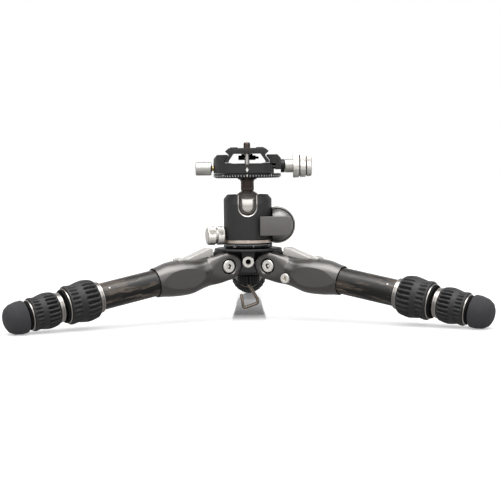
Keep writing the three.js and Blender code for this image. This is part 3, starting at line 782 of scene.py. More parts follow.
def casting_shell():
    """The casting's outside: a flat-sided boss round the pivot that flows into a round arm."""
    around = 112
    rings = []
    for a in range(3, 90, 5):
        x, half = -CASTING_BOSS * math.cos(math.radians(a)), CASTING_BOSS * math.sin(math.radians(a))
        rings.append((x, 0.0, half, CASTING_HALF_WIDTH, 8.0))
    x = 0.0
    while x <= CASTING_END + 1e-4:
        rings.append((x, *curve_through(CASTING_SECTIONS, x)))
        x += CASTING_END / 66
    points, faces = [], []
    for x, centre, half, width, square in rings:
        for k in range(around):
            a = 2 * math.pi * k / around
            c, s = math.cos(a), math.sin(a)
            points.append((x, width * math.copysign(abs(c) ** (2 / square), c),
                           centre + half * math.copysign(abs(s) ** (2 / square), s)))
    for r in range(len(rings) - 1):
        for k in range(around):
            a, b = r * around + k, r * around + (k + 1) % around
            faces.append((a, b, b + around, a + around))
    faces.append(tuple(range(around)))
    faces.append(tuple(range((len(rings) - 1) * around, len(rings) * around)))
    return mesh_of(points, faces)


def recess(side):
    """A tool for a round recess in one side of the casting, its mouth chamfered."""
    face, floor = CASTING_HALF_WIDTH, CASTING_HALF_WIDTH - RECESS_DEPTH
    mouth = RECESS_RADIUS + RECESS_CHAMFER + 0.3
    tool = across(turned([(floor, 0), (floor, RECESS_RADIUS), (face - RECESS_CHAMFER, RECESS_RADIUS),
                          (face + 0.3, mouth), (face + 3, mouth), (face + 3, 0)], 72, 0))
    return tool if side > 0 else moved(tool, HALF_TURN)


def casting_mesh(legs, with_port):
    """The finished casting in the leg's own frame."""
    near = FACET_HALF_WIDTH
    far = near - math.tan(legs.facet_lean) * (FACET_END - FACET_START)
    wedge = prism([(-20, -20), (12, -20), (12, -14), (FACET_START, -near), (FACET_END, -far),
                   (FACET_END, far), (FACET_START, near), (12, 14), (12, 20), (-20, 20)], -30, 30, "z")
    tools = [
        block(-20, 10.8, -6.4, 6.4, -20, 20),
        turned([(46, 0), (46, 11.5), (65.3, 11.5), (66.6, 12.3), (70, 12.3), (70, 0)], 96, 0),
        across(rod(-14, 14, BOLT_HOLE_RADIUS, 48)),
        recess(1), recess(-1),
        block(8.2, 44.2, -6.4, 6.4, 10.6, 25),
    ]
    if with_port:
        x, z = LEG_PORT
        hole = turned([(-20, 0), (-20, 5.0), (-11.9, 5.0), (-11.3, 4.3), (-8, 4.3), (-8, 0)], 48, 0)
        tools.append(across(hole, (x, 0, z)))
    return carved(casting_shell(), ("INTERSECT", wedge), *cut(*tools))


class TRIPOD_OT_castings(bpy.types.Operator):
    """Builds the three leg castings"""

    bl_idname = "tripod.castings"
    bl_label = "Leg castings"

    def execute(self, context):
        plain = casting_mesh(context.scene.tripod_legs, False)
        ported = casting_mesh(context.scene.tripod_legs, True)
        # Painted shade: black liners set in the pivot recesses and in the screws' hexagon sockets, where
        # shade falls.
        seat = across(turned([(10.25, 5.6), (10.25, 6.68), (11.9, 6.68), (11.9, 6.45), (10.6, 6.3),
                              (10.6, 5.6)], 72, 0))
        socket = across(turned([(10.45, 1.5), (10.45, 2.2), (10.7, 2.2), (10.7, 1.5)], 6, 0))
        shade_liners = together(seat, socket, moved(seat, HALF_TURN), moved(socket, HALF_TURN))
        for leg in LEGS:
            place(shade_liners.copy(), f"{leg}_pivot_shade_liners", leg_home(leg), f"{leg}_leg", "scale_black",
                  "painted_shade_black")
            mesh = ported if leg == "front_right" else plain
            place(mesh.copy(), f"{leg}_leg_casting", leg_home(leg), f"{leg}_leg", "casting_grey",
                  nodes=[f"{leg}_casting"], under=math.radians(13))
        return {"FINISHED"}


def socket_screw(side):
    """A pivot screw's head with its hexagon socket."""
    head = turned([(8.6, 0), (8.6, 3.4), (10.5, 3.4), (10.5, 5.5), (12.0, 5.5), (12.55, 4.9), (12.55, 0)],
                  72, 0.18)
    hexagon = turned([(10.4, 0), (10.4, 2.3), (12.3, 2.3), (12.9, 3.0), (13.5, 3.0), (13.5, 0)], 6, 0)
    made = across(carved(head, *cut(hexagon)))
    return made if side > 0 else moved(made, HALF_TURN)


def tab_mesh():
    """The angle tab: a lifting wedge with a ribbed thumb piece."""
    outline = [(9.4, 11.6), (34.5, 11.4), (36, 12.8), (43.4, 13.2), (43.4, 14.8), (41.6, 15.7), (37.2, 15.3),
               (35.2, 13.9), (33, 14.5), (12, 18.4), (9.4, 17.8)]
    body = prism(outline, -5.8, 5.8, "y", 0.45, 3)
    slots = [block(x, x + 0.7, -4.6, 4.6, 15.1, 17) for x in (37.4, 38.9, 40.4)]
    return carved(body, *cut(*slots))


class TRIPOD_OT_pivots(bpy.types.Operator):
    """Builds the pivot screws, the angle tabs and the side port"""

    bl_idname = "tripod.pivots"
    bl_label = "Pivot screws and tabs"

    def execute(self, context):
        shank = across(rod(-9, 9, 3.4, 48, 0.2))
        screw = together(socket_screw(1), socket_screw(-1), shank)
        tab = tab_mesh()
        for leg in LEGS:
            where = leg_home(leg)
            place(screw.copy(), f"{leg}_pivot", where, f"{leg}_leg", "steel", nodes=[f"{leg}_pivot_screw"])
            place(tab.copy(), f"{leg}_tab", where, f"{leg}_tab", "satin_silver", "tab_alloy",
                  [f"{leg}_angle_tab"])
        x, z = LEG_PORT
        insert = turned([(-13.1, 2.3), (-13.1, 3.9), (-12.6, 4.25), (-8.3, 4.25), (-8.3, 0), (-9.4, 0),
                         (-9.4, 2.3)], 64, 0.12)
        threads = [turned([(a, 2.35), (a + 0.5, 1.95), (a + 1.0, 2.35)], 48, 0)
                   for a in (-12.4, -11.3, -10.2)]
        place(across(together(insert, *threads), (x, 0, z)), "leg_port", leg_home("front_right"),
              "front_right_leg", "steel", nodes=["leg_port_insert"])
        return {"FINISHED"}


class TRIPOD_OT_tubes(bpy.types.Operator):
    """Builds the three carbon tubes of each leg"""

    bl_idname = "tripod.tubes"
    bl_label = "Carbon tubes"

    def execute(self, context):
        for leg in LEGS:
            where = leg_home(leg)
            for section, body in (("upper", "leg"), ("middle", "middle"), ("lower", "lower")):
                node = f"{leg}_{section}_tube"
                start, end = span(node, where)
                radius = span(node, where, 1)[1]
                mesh = run_tree(bpy.data.meshes.new("empty"), GROUP["tube"], {
                    "Start": start, "End": end, "Radius": radius, "Sides": 96,
                    "Material": FINISHES["carbon"]})
                place(mesh, f"{leg}_{section}_carbon", where, f"{leg}_{body}", "carbon", nodes=[node])
            end = span(f"{leg}_upper_lock_sleeve", where)[0]
            for side in (-1, 1):
                dot = turned([(11.16, 0), (11.16, 0.85), (11.26, 0.8), (11.28, 0)], 32, 0)
                turn = Matrix.Rotation(side * math.radians(50), 4, "X")
                outwards = Matrix.Rotation(-math.pi / 2, 4, "Y")
                dot = moved(dot, Matrix.Translation((end - 6.5, 0, 0)) @ turn @ outwards)
                place(dot, f"{leg}_dot_{'left' if side < 0 else 'right'}", where, f"{leg}_leg", "carbon",
                      "paint_white")
        return {"FINISHED"}


SIDES_PER_FLUTE = 14


def grip_mesh(legs, profile, bore, start, end):
    """A rubber sleeve: a waisted profile with deep flutes by the hub and short ones by the foot."""
    table = [(start + t * (end - start), r) for t, r in profile]
    steps = 56
    places = [start + (end - start) * i / steps for i in range(steps + 1)]
    outline = [(x, curve_through(table, x)[0]) for x in places]
    first, last = outline[0], outline[-1]
    rows = [(first[0] + 0.3, bore), (first[0], first[1] - 0.5), *outline[1:-1], (last[0], last[1] - 0.6),
            (last[0] - 0.3, bore)]
    mesh = turned(rows, legs.flutes * SIDES_PER_FLUTE, 0)
    span_mm = end - start
    deep = {"Count": legs.flutes, "Depth": legs.flute_depth / MM, "Start": start + 0.02 * span_mm,
            "End": start + 0.52 * span_mm, "Fade": 0.1 * span_mm, "Width": 1.7, "Inner radius": bore + 0.5,
            "Material": FINISHES["grip_rubber"]}
    short = {**deep, "Depth": legs.short_flute_depth / MM, "Start": start + 0.66 * span_mm,
             "End": start + 0.96 * span_mm, "Fade": 0.07 * span_mm, "Turn": math.pi / legs.flutes}
    return run_tree(run_tree(mesh, GROUP["flutes"], deep), GROUP["flutes"], short)


GRIP_SHAPE = ((0.0, 14.7), (0.09, 16.2), (0.36, 17.3), (0.56, 16.6), (0.74, 15.7), (0.93, 16.2), (1.0, 15.5))
LOWER_GRIP_SHAPE = ((0.0, 12.9), (0.09, 14.0), (0.36, 14.8), (0.56, 14.2), (0.74, 13.3), (0.93, 13.8),
                    (1.0, 13.1))


class TRIPOD_OT_locks(bpy.types.Operator):
    """Builds the twist locks: a bare metal sleeve and a fluted rubber grip each"""

    bl_idname = "tripod.locks"
    bl_label = "Twist locks"

    def execute(self, context):
        legs = context.scene.tripod_legs
        where = leg_home(LEGS[0])
        made = {}
        for lock, shape, bore, ring, flange, hole in (
                ("upper", GRIP_SHAPE, 13.5, 13.2, 14.6, 11.5),
                ("lower", LOWER_GRIP_SHAPE, 11.8, 12.5, 12.5, 9.9)):
            start, end = span(f"{LEGS[0]}_{lock}_lock_sleeve", where)
            grip = span(f"{LEGS[0]}_{lock}_lock_grip", where)
            core = bore - 0.3
            made[lock, "sleeve"] = turned([
                (start + 0.3, hole), (start + 0.3, ring - 0.5), (start + 0.6, ring - 0.3),
                (start + 1.7, ring - 0.3),
                (start + 1.85, ring - 0.6), (start + 2.1, ring - 0.6), (start + 2.25, ring),
                (start + 4, ring), (start + 4, core), (end - 2.9, core), (end - 2.9, flange),
                (end - 2.05, flange), (end - 1.85, flange - 0.25), (end - 1.85, hole - 1.5),
                (start + 8, hole - 1.5), (start + 8, hole)], 112, 0.1, 2)
            # Painted shade: thin black rings on the lock's end faces, where the recess falls into shade.
            made[lock, "lip"] = together(
                turned([(end - 1.83, hole - 1.4), (end - 1.83, flange - 0.65), (end - 0.5, flange - 0.8),
                        (end - 0.05, flange - 1.2), (end - 0.05, hole - 1.4)], 112, 0.1, 2),
                turned([(start + 0.05, hole + 0.1), (start + 0.05, ring - 0.75), (start + 0.28, ring - 0.65),
                        (start + 0.28, hole + 0.1)], 112, 0))
            made[lock, "grip"] = grip_mesh(legs, shape, bore, *grip)
        for leg in LEGS:
            where = leg_home(leg)
            for (lock, part), mesh in made.items():
                name, slot = {"sleeve": ("ring", "machined_ring"), "grip": ("cover", "grip_rubber"),
                              "lip": ("lips", "scale_black")}[part]
                nodes = [] if part == "lip" else [f"{leg}_{lock}_lock_{part}"]
                place(mesh.copy(), f"{leg}_{lock}_lock_{name}", where, f"{leg}_{lock}_lock", slot,
                      "painted_shade_black" if part == "lip" else None, nodes)
        return {"FINISHED"}


class TRIPOD_OT_feet(bpy.types.Operator):
    """Builds the rubber feet"""

    bl_idname = "tripod.feet"
    bl_label = "Feet"

    def execute(self, context):
        where = leg_home(LEGS[0])
        start, end = span(f"{LEGS[0]}_foot", where)
        profile = [(start + 9.2, 0), (start + 9.2, 8.5), (start, 8.5), (start, 12.4), (start + 1.2, 13.4),
                   (start + 5.6, 13.4), (end - 6.5, 12.3), (end - 2.6, 9.8), (end - 0.6, 6.4), (end, 2.6),
                   (end, 0)]
        mesh = turned(profile, 96, 0.5, 3)
        for leg in LEGS:
            place(mesh.copy(), f"{leg}_rubber_foot", leg_home(leg), f"{leg}_lower", "foot_rubber",
                  nodes=[f"{leg}_foot"], under=math.radians(10))
        return {"FINISHED"}


# ---------------------------------------------------------------- hub and hook


TONGUE_RADIUS = 8.9
PORT_HEIGHT = 45.8
RIB_INSIDE, RIB_OUTSIDE = 8, 18.8
COLUMN_INSIDE, COLUMN_OUTSIDE = 18.2, 19.8


def hub_mesh():
    """The hub: a core, a top plate, three tongues between the castings and three waisted columns."""
    pivot = PIVOT_HEIGHT
    reach = on_hub(JOINTS["rear_fold"]["pos_m"]).to_2d().length
    core = turned_up(turned([(33.4, 0), (33.4, 9.5), (36, 13.2), (55.6, 13.2), (55.6, 0)], 72, 0.4))
    plate = turned_up(turned([(55, 0), (55, 29.1), (55.4, 29.5), (56.3, 29.5), (56.8, 29.0), (56.8, 24.4),
                              (56.5, 24.0), (56.5, 0)], 128, 0.2))
    tongue = prism([(0, 55.5), (0, pivot - TONGUE_RADIUS), *arc(reach, pivot, TONGUE_RADIUS, -90, 60, 18),
                    (reach + 5, 55.5)], -6, 6, "y", 0.35)
    bolt = rod(-8, 8, BOLT_HOLE_RADIUS, 36)
    tongue = carved(tongue, *cut(across(bolt, (reach, 0, pivot))))
    column = prism([(-6.3, 55.2), (-5.3, 51), (-4.9, 46), (-5.2, 41), (-6.4, 38.9), (-7.0, 37.6),
                    (-7.0, 36.6), (7.0, 36.6), (7.0, 37.6), (6.4, 38.9), (5.2, 41), (4.9, 46), (5.3, 51),
                    (6.3, 55.2)], COLUMN_INSIDE, COLUMN_OUTSIDE, "x", 0.5, 3)
    rib = prism([(-5, 55.2), (-5, 36.6), (5, 36.6), (5, 55.2)], RIB_INSIDE, RIB_OUTSIDE, "x", 0.3)
    steps = [("UNION", plate)]
    for azimuth in (210, 330, 90):
        steps.append(("UNION", moved(tongue, Matrix.Rotation(math.radians(azimuth), 4, "Z"))))
        between = Matrix.Rotation(math.radians(azimuth + 60), 4, "Z")
        steps += [("UNION", moved(rib, between)), ("UNION", moved(column, between))]
    port = across(rod(-21, -14.9, 4.4, 48), (0, 0, PORT_HEIGHT))
    well = turned_up(rod(30, 41.4, 5, 48))
    return carved(core, *steps, *cut(port, well))


class TRIPOD_OT_hub(bpy.types.Operator):
    """Builds the hub and its threaded port"""

    bl_idname = "tripod.hub"
    bl_label = "Hub"

    def execute(self, context):
        place(hub_mesh(), "hub", UPRIGHT, "hub", "body_charcoal", nodes=["hub_spider"])
        insert = turned([(-20.45, 2.5), (-20.45, 4.5), (-20.15, 4.9), (-19.85, 5.0), (-19.85, 4.15),
                         (-15.2, 4.15), (-15.2, 0), (-16.2, 0), (-16.2, 2.5)], 72, 0.12)
        threads = [turned([(a, 2.55), (a + 0.5, 2.15), (a + 1.0, 2.55)], 48, 0)
                   for a in (-19.9, -18.7, -17.5)]
        port = across(together(insert, *threads), (0, 0, PORT_HEIGHT))
        place(port, "hub_port", UPRIGHT, "hub", "steel", nodes=["accessory_port"])
        # Painted shade: a black disc at the bottom of the port's bore, where the hole falls into shade.
        port_shade_disc = rod(-16.8, -16.25, 2.4, 48)
        place(across(port_shade_disc, (0, 0, PORT_HEIGHT)), "hub_port_shade", UPRIGHT, "hub", "scale_black",
              "painted_shade_black")
        return {"FINISHED"}


WIRE_SIDES = 20
BEND_STEPS = 7


def wire(path, radius):
    """A round wire along a path, with rounded ends."""
    points, faces = [], []
    side = Vector((0, 1, 0))
    rows = []
    for i, p in enumerate(path):
        ahead = (path[min(i + 1, len(path) - 1)] - path[max(i - 1, 0)]).normalized()
        rows.append((p, ahead, radius))
    first, last = rows[0], rows[-1]
    caps = [(math.cos(math.radians(a)), math.sin(math.radians(a))) for a in (8, 30, 60)]
    start = [(first[0] - first[1] * radius * c * 0.7, first[1], radius * s) for c, s in caps]
    end = [(last[0] + last[1] * radius * c * 0.7, last[1], radius * s) for c, s in reversed(caps)]
    rows = start + rows + end
    for p, ahead, r in rows:
        out = ahead.cross(side).normalized()
        for k in range(WIRE_SIDES):
            a = 2 * math.pi * k / WIRE_SIDES
            points.append(p + (out * math.cos(a) + side * math.sin(a)) * r)
    for i in range(len(rows) - 1):
        for k in range(WIRE_SIDES):
            a, b = i * WIRE_SIDES + k, i * WIRE_SIDES + (k + 1) % WIRE_SIDES
            faces.append((a, b, b + WIRE_SIDES, a + WIRE_SIDES))
    last = (len(rows) - 1) * WIRE_SIDES
    faces += [tuple(range(WIRE_SIDES)), tuple(range(last, last + WIRE_SIDES))]
    return mesh_of(points, faces)


def bent(bends, radius):
    """A path through straight runs with round bends."""
    path = [Vector(bends[0])]
    for before, corner, after in zip(bends, bends[1:], bends[2:]):
        before, corner, after = Vector(before), Vector(corner), Vector(after)
        start = corner + (before - corner).normalized() * radius
        end = corner + (after - corner).normalized() * radius
        path += [start * (1 - t) ** 2 + corner * 2 * t * (1 - t) + end * t ** 2
                 for t in (i / BEND_STEPS for i in range(BEND_STEPS + 1))]
    path.append(Vector(bends[-1]))
    return path


class TRIPOD_OT_hook(bpy.types.Operator):
    """Builds the ribbed hook base and the bent wire hook"""

    bl_idname = "tripod.hook"
    bl_label = "Hook"

    def execute(self, context):
        base = turned(close_steps([(41, 0), (41, 4.7), (33.1, 4.7), (33.1, 9.0), (32.4, 9.9), (30.0, 9.9),
                                   (26.0, 9.9), (25.2, 9.2), (25.2, 3.8), (30.4, 3.6), (30.4, 0)], 0.8),
                                   240, 0)
        base = run_tree(base, GROUP["flutes"], {
            "Count": 18, "Depth": 0.9, "Start": 25.0, "End": 33.4, "Fade": 0.5, "Width": 3.0,
            "Inner radius": 8.5, "Material": FINISHES["scale_black"]})
        place(base, "hook_socket", AXLE, "hub", "scale_black", nodes=["hook_base"])
        bends = [(0, 0, 28.6), (-1, 0, 25.6), (7, 0, 13.2), (8.3, 0, 8.2), (-4.6, 0, 3.8), (-6.5, 0, 15.4)]
        shank = turned_up(turned([(27.6, 0), (27.6, 2.4), (28, 2.8), (29.8, 2.8), (30.2, 2.4),
                                  (30.2, 0)], 32, 0.15))
        place(together(wire(bent(bends, 2.2), 1.35), shank), "hook_wire", UPRIGHT, "hook", "hook_nickel",
              nodes=["hook"])
        return {"FINISHED"}


# ---------------------------------------------------------------- ball head

SCALE_RADIUS = 21.3
SCALE_TURN = 12
PAINT_SUNK = 0.02
SCREW_BORE = 2.8


def ring_marks(name, body, values):
    """Painted marks round one of the upright rings."""
    inputs = {**values, "Material": FINISHES["paint_white"]}
    marks = run_tree(bpy.data.meshes.new("empty"), GROUP["marks"], inputs)
    place(marks, name, AXLE, body, "scale_black", "paint_white")


def numerals(texts, size, radius, height, where_from):
    """Small numbers set round an upright ring, each facing outwards."""
    shapes = []
    for text, azimuth in texts:
        curve = bpy.data.curves.new("number", "FONT")
        curve.body, curve.size, curve.extrude = text, size, 0.05
        curve.align_x, curve.align_y, curve.resolution_u = "CENTER", "CENTER", 2
        obj = bpy.data.objects.new("number", curve)
        bpy.context.scene.collection.objects.link(obj)
        mesh = baked(obj)
        turn = Matrix.Rotation(math.radians(azimuth + where_from), 4, "Z")
        stand = Matrix.Translation((0, -radius, height)) @ Matrix.Rotation(math.pi / 2, 4, "X")
        shapes.append(moved(mesh, turn @ stand))
    return together(*shapes)


class TRIPOD_OT_pan_base(bpy.types.Operator):
    """Builds the scale ring, its marks and the index ring"""

    bl_idname = "tripod.pan_base"
    bl_label = "Panning base"

    def execute(self, context):
        head = context.scene.tripod_head
        low, high = span("degree_ring", UPRIGHT, 2)
        ring = turned([(low, 8), (low, 20.0), (low + 0.6, 20.9), (low + 1.1, SCALE_RADIUS),
                       (high - 0.3, SCALE_RADIUS), (high, 21.0), (high, 8)], 144, 0.2)
        place(ring, "scale_ring", AXLE, "hub", "scale_black", nodes=["degree_ring"])
        ring_marks("scale_ring_marks", "hub", {
            "Count": head.scale_marks, "Long every": 15, "Radius": SCALE_RADIUS - PAINT_SUNK,
            "Base": high - 1.35, "Length": 0.75, "Long length": 0.75, "Width": 0.26,
            "Turn": math.radians(SCALE_TURN)})
        angles = [(str(a), a) for a in range(0, 360, 45)]
        numbers = numerals(angles, 1.7, SCALE_RADIUS, high - 2.35, SCALE_TURN)
        place(numbers, "scale_ring_numbers", UPRIGHT, "hub", "scale_black", "paint_white")
        low, high = span("index_ring", UPRIGHT, 2)
        ring = turned([(low, 8), (low, 20.6), (low + 0.3, 21.0), (high - 0.15, 21.0), (high, 20.8),
                       (high, 8)], 144, 0.15)
        place(ring, "pan_index_ring", AXLE, "head", "bronze_ring", nodes=["index_ring"])
        dot = across(turned([(-21.1, 0), (-21.08, 0.62), (-20.9, 0.62), (-20.9, 0)], 32, 0),
                     (0, 0, (low + high) / 2))
        place(dot, "pan_index_dot", UPRIGHT, "head", "bronze_ring", "paint_white")
        return {"FINISHED"}


def notch_path(half, height, top):
    """The outline of the ball's notch, from its left top round to its right top."""
    left = [(-half, top + (height - top) * i / 8) for i in range(8)]
    return [*left, *arc(0, height, half, 180, 360, 40), *[(-x, z) for x, z in reversed(left)]]


HEAD_SIDES = 160
HEAD_RADIUS = 21.0
HEAD_TOP_RADIUS = 17.8
NOTCH_HALF = 7.6
NOTCH_HEIGHT = 93.0
RIM_OUTSIDE = 0.75
BALL_HEIGHT = on_hub(JOINTS["ball_side_tilt"]["pos_m"]).z


def chamfer_start(facing, top):
    """Where the head's top chamfer starts: high at the two sides, low at the front and back."""
    return top - 3.8 - 4.8 * facing ** 1.3


def head_shell(low, top):
    """The head's outside, whose top chamfer is taller at its front and back than at its sides."""
    points, faces = [], []
    rows = ((low, HEAD_RADIUS - 0.4), (low + 0.4, HEAD_RADIUS))
    drop = HEAD_RADIUS - HEAD_TOP_RADIUS
    shares = ((-0.12, 0), (-0.03, 0.008), (0.03, 0.045), (0.12, 0.12), (0.5, 0.5), (0.9, 0.9), (0.97, 0.98),
              (1, 1.1))
    for k in range(HEAD_SIDES):
        a = 2 * math.pi * k / HEAD_SIDES
        start = chamfer_start(abs(math.sin(a)), top)
        column = [*rows, *[(start + t * (top - start), HEAD_RADIUS - drop * u) for t, u in shares]]
        points += [(r * math.cos(a), r * math.sin(a), z) for z, r in column]
    tall = len(points) // HEAD_SIDES
    for k in range(HEAD_SIDES):
        for i in range(tall - 1):
            a, b = k * tall + i, (k + 1) % HEAD_SIDES * tall + i
            faces.append((a, b, b + 1, a + 1))
    faces += [tuple(k * tall + row for k in range(HEAD_SIDES)) for row in (0, tall - 1)]
    return mesh_of(points, faces)


def head_front(x, z, top):
    """How far forward the head's outside stands at a place beside its middle and a height."""
    start = chamfer_start(math.sqrt(1 - (x / HEAD_RADIUS) ** 2), top)
    risen = max(0.0, (z - start) / (top - start))
    return -math.sqrt((HEAD_RADIUS - (HEAD_RADIUS - HEAD_TOP_RADIUS) * risen) ** 2 - x ** 2)


def notch_rim(half, top, head_top, width):
    """The bright chamfer round the notch, lying on the head's outside."""
    inner, outer = (notch_path(half - width, NOTCH_HEIGHT, top), notch_path(half, NOTCH_HEIGHT, top))
    points, faces = [], []
    for (xi, zi), (xo, zo) in zip(inner, outer):
        wall_in, wall_out = head_front(xi, zi, head_top), head_front(xo, zo, head_top)
        points += [(xo, wall_out - 0.04, zo), (xi, wall_in + width * 0.6, zi), (xi, wall_in + 2.2, zi),
                   (xo, wall_out + 2.2, zo)]
    for i in range(len(inner) - 1):
        for k in range(4):
            a, b = i * 4 + k, i * 4 + (k + 1) % 4
            faces.append((a, b, b + 4, a + 4))
    last = (len(inner) - 1) * 4
    faces += [(0, 1, 2, 3), (last, last + 1, last + 2, last + 3)]
    return mesh_of(points, faces)


class TRIPOD_OT_head(bpy.types.Operator):
    """Builds the head's body and the bright rim of its notch"""

    bl_idname = "tripod.head"
    bl_label = "Ball head body"

    def execute(self, context):
        rim = context.scene.tripod_head.rim / MM
        low, high = span("head_body", UPRIGHT, 2)
        seat = [(BALL_HEIGHT + x, r) for x, r in arc(0, 0, 14.9, 86, 59, 10)]
        cavity = turned([(low - 1, 0), (low - 1, 15.2), (BALL_HEIGHT, 15.2), *seat, (high - 1, 13.2),
                         (high + 1, 15.2), (high + 1, 0)], 120, 0)
        half = NOTCH_HALF + RIM_OUTSIDE
        notch = prism([(-half, high + 2), *arc(0, NOTCH_HEIGHT, half, 180, 360, 40), (half, high + 2)],
                      -24, -6, "y")
        bore = rod(12, 24, SCREW_BORE, 36)
        knob_place = on_hub(JOINTS["pan_knob_turn"]["pos_m"])
        turn = Matrix.Rotation(math.atan2(knob_place.y, knob_place.x), 4, "Z")
        bore = moved(bore, Matrix.Translation((0, 0, knob_place.z)) @ turn)
        body = carved(head_shell(low, high), *cut(turned_up(cavity), notch, bore))
        place(body, "ball_head_body", UPRIGHT, "head", "body_charcoal", nodes=["head_body"])
        place(notch_rim(half, high - 0.5, high, rim), "notch_rim", UPRIGHT, "head", "satin_silver",
              "machined_ring")
        return {"FINISHED"}


class TRIPOD_OT_ball(bpy.types.Operator):
    """Builds the polished ball and its stem"""

    bl_idname = "tripod.ball"
    bl_label = "Ball and stem"

    def execute(self, context):
        ball = turned([(-14.6, 0), *arc(0, 0, 14.6, 177, 3, 64), (14.6, 0)], 128, 0)
        place(ball, "polished_ball", home(JOINTS["ball_side_tilt"]["pos_m"], (0, 0, 1), (1, 0, 0)), "ball",
              "ball_chrome", nodes=["ball"])
        top = BALL_HEIGHT
        foot = [(top + x, r) for x, r in arc(0, 0, 14.95, 4, 22.5, 6)]
        stem = turned([(foot[0][0], 0), *foot[1:], (110.0, 5.9), (110.2, 5.8), (115.2, 5.8), (115.4, 6.2),
                       (116.2, 6.3), (116.6, 7.9), (117.6, 8.6), (117.6, 0)], 96, 0.25)
        place(stem, "ball_stem", AXLE, "stem", "stem_gunmetal", nodes=["stem"])
        return {"FINISHED"}


SIDES_PER_KNURL = 6


def knob(profile, grooves, name, where, body, node, head):
    """A turned knob, knurled between the places that grooves gives."""
    mesh = turned(close_steps(eased(profile, 0.35, 3), 1.2), head.knurls * SIDES_PER_KNURL, 0)
    for start, end, inner in grooves:
        mesh = run_tree(mesh, GROUP["flutes"], {
            "Count": head.knurls, "Depth": head.knurl_depth / MM, "Start": start, "End": end, "Fade": 0.5,
            "Width": 1.2, "Inner radius": inner, "Material": FINISHES["satin_silver"]})
    place(mesh, name, where, body, "satin_silver", nodes=[node])


def joint_home(name):
    """A knob's frame: X points out along its joint from the hub's axis."""
    joint = JOINTS[name]
    return home((*HUB_AXIS[:2], joint["pos_m"][2]), joint["axis"])


class TRIPOD_OT_knobs(bpy.types.Operator):
    """Builds the three turned knobs"""

    bl_idname = "tripod.knobs"
    bl_label = "Knobs"

    def execute(self, context):
        head = context.scene.tripod_head
        knob([(16.4, 0), (16.4, 2.5), (21.9, 2.5), (21.9, 7.3), (22.4, 8), (27.9, 8.1), (28.4, 6.9),
              (29.4, 6.9), (29.9, 8.1), (35.7, 8), (36.8, 7.2), (37.1, 6), (37.1, 0)],
             [(22.4, 28.3, 7.4), (29.8, 36.5, 7.4)], "pan_lock_knob", joint_home("pan_knob_turn"), "pan_knob",
             "pan_knob", head)
        knob([(-12, 0), (-12, 2.5), (33, 2.5), (33, 5.6), (33.3, 5.9), (39.9, 5.9), (39.9, 10.1),
              (40.3, 10.4), (44.8, 10.2), (45.2, 9.8), (45.3, 8.8), (45.9, 8.8), (46.0, 9.6), (46.4, 9.95),
              (50.6, 9.8), (51.0, 9.4), (51.1, 8.4), (51.7, 8.4), (51.8, 9.1), (52.2, 9.4), (55.3, 9.1),
              (56.1, 8.4), (56.1, 0)],
             [(39.8, 45.3, 9.2), (45.9, 51.1, 9.2), (51.7, 56.0, 8.6)], "clamp_screw_knob",
             joint_home("clamp_knob_turn"), "clamp_knob", "clamp_knob", head)
        # Painted shade: thin black rings laid in the knob's two grooves so that they read dark.
        groove_shades = together(*(turned([(x, r - 0.6), (x, r), (x + 0.5, r), (x + 0.5, r - 0.6)], 72, 0)
                          for x, r in ((45.35, 9.1), (51.15, 8.7))))
        place(groove_shades, "clamp_knob_groove_shades", joint_home("clamp_knob_turn"), "clamp_knob", "satin_silver",
              "painted_shade_black")
        where = joint_home("clamp_pan_knob_turn")
        start = span("clamp_pan_knob", where)[0]
        cap = turned([(31.1, 0), (31.1, 5.3), (31.6, 5.85), (44.2, 5.85), (44.9, 5.2), (44.9, 4.4),
                      (44.6, 3.8), (44.6, 0)], 96, 0.3)
        place(cap, "clamp_pan_lock_knob", where, "clamp_pan_knob", "satin_silver",
              nodes=["clamp_pan_knob"])
        neck = turned([(start, 0), (start, 1.9), (30.4, 1.9), (30.6, 3.0), (31.0, 3.2), (31.0, 0)], 64, 0.15)
        place(neck, "clamp_pan_neck", where, "clamp_pan_knob", "brass")
        return {"FINISHED"}


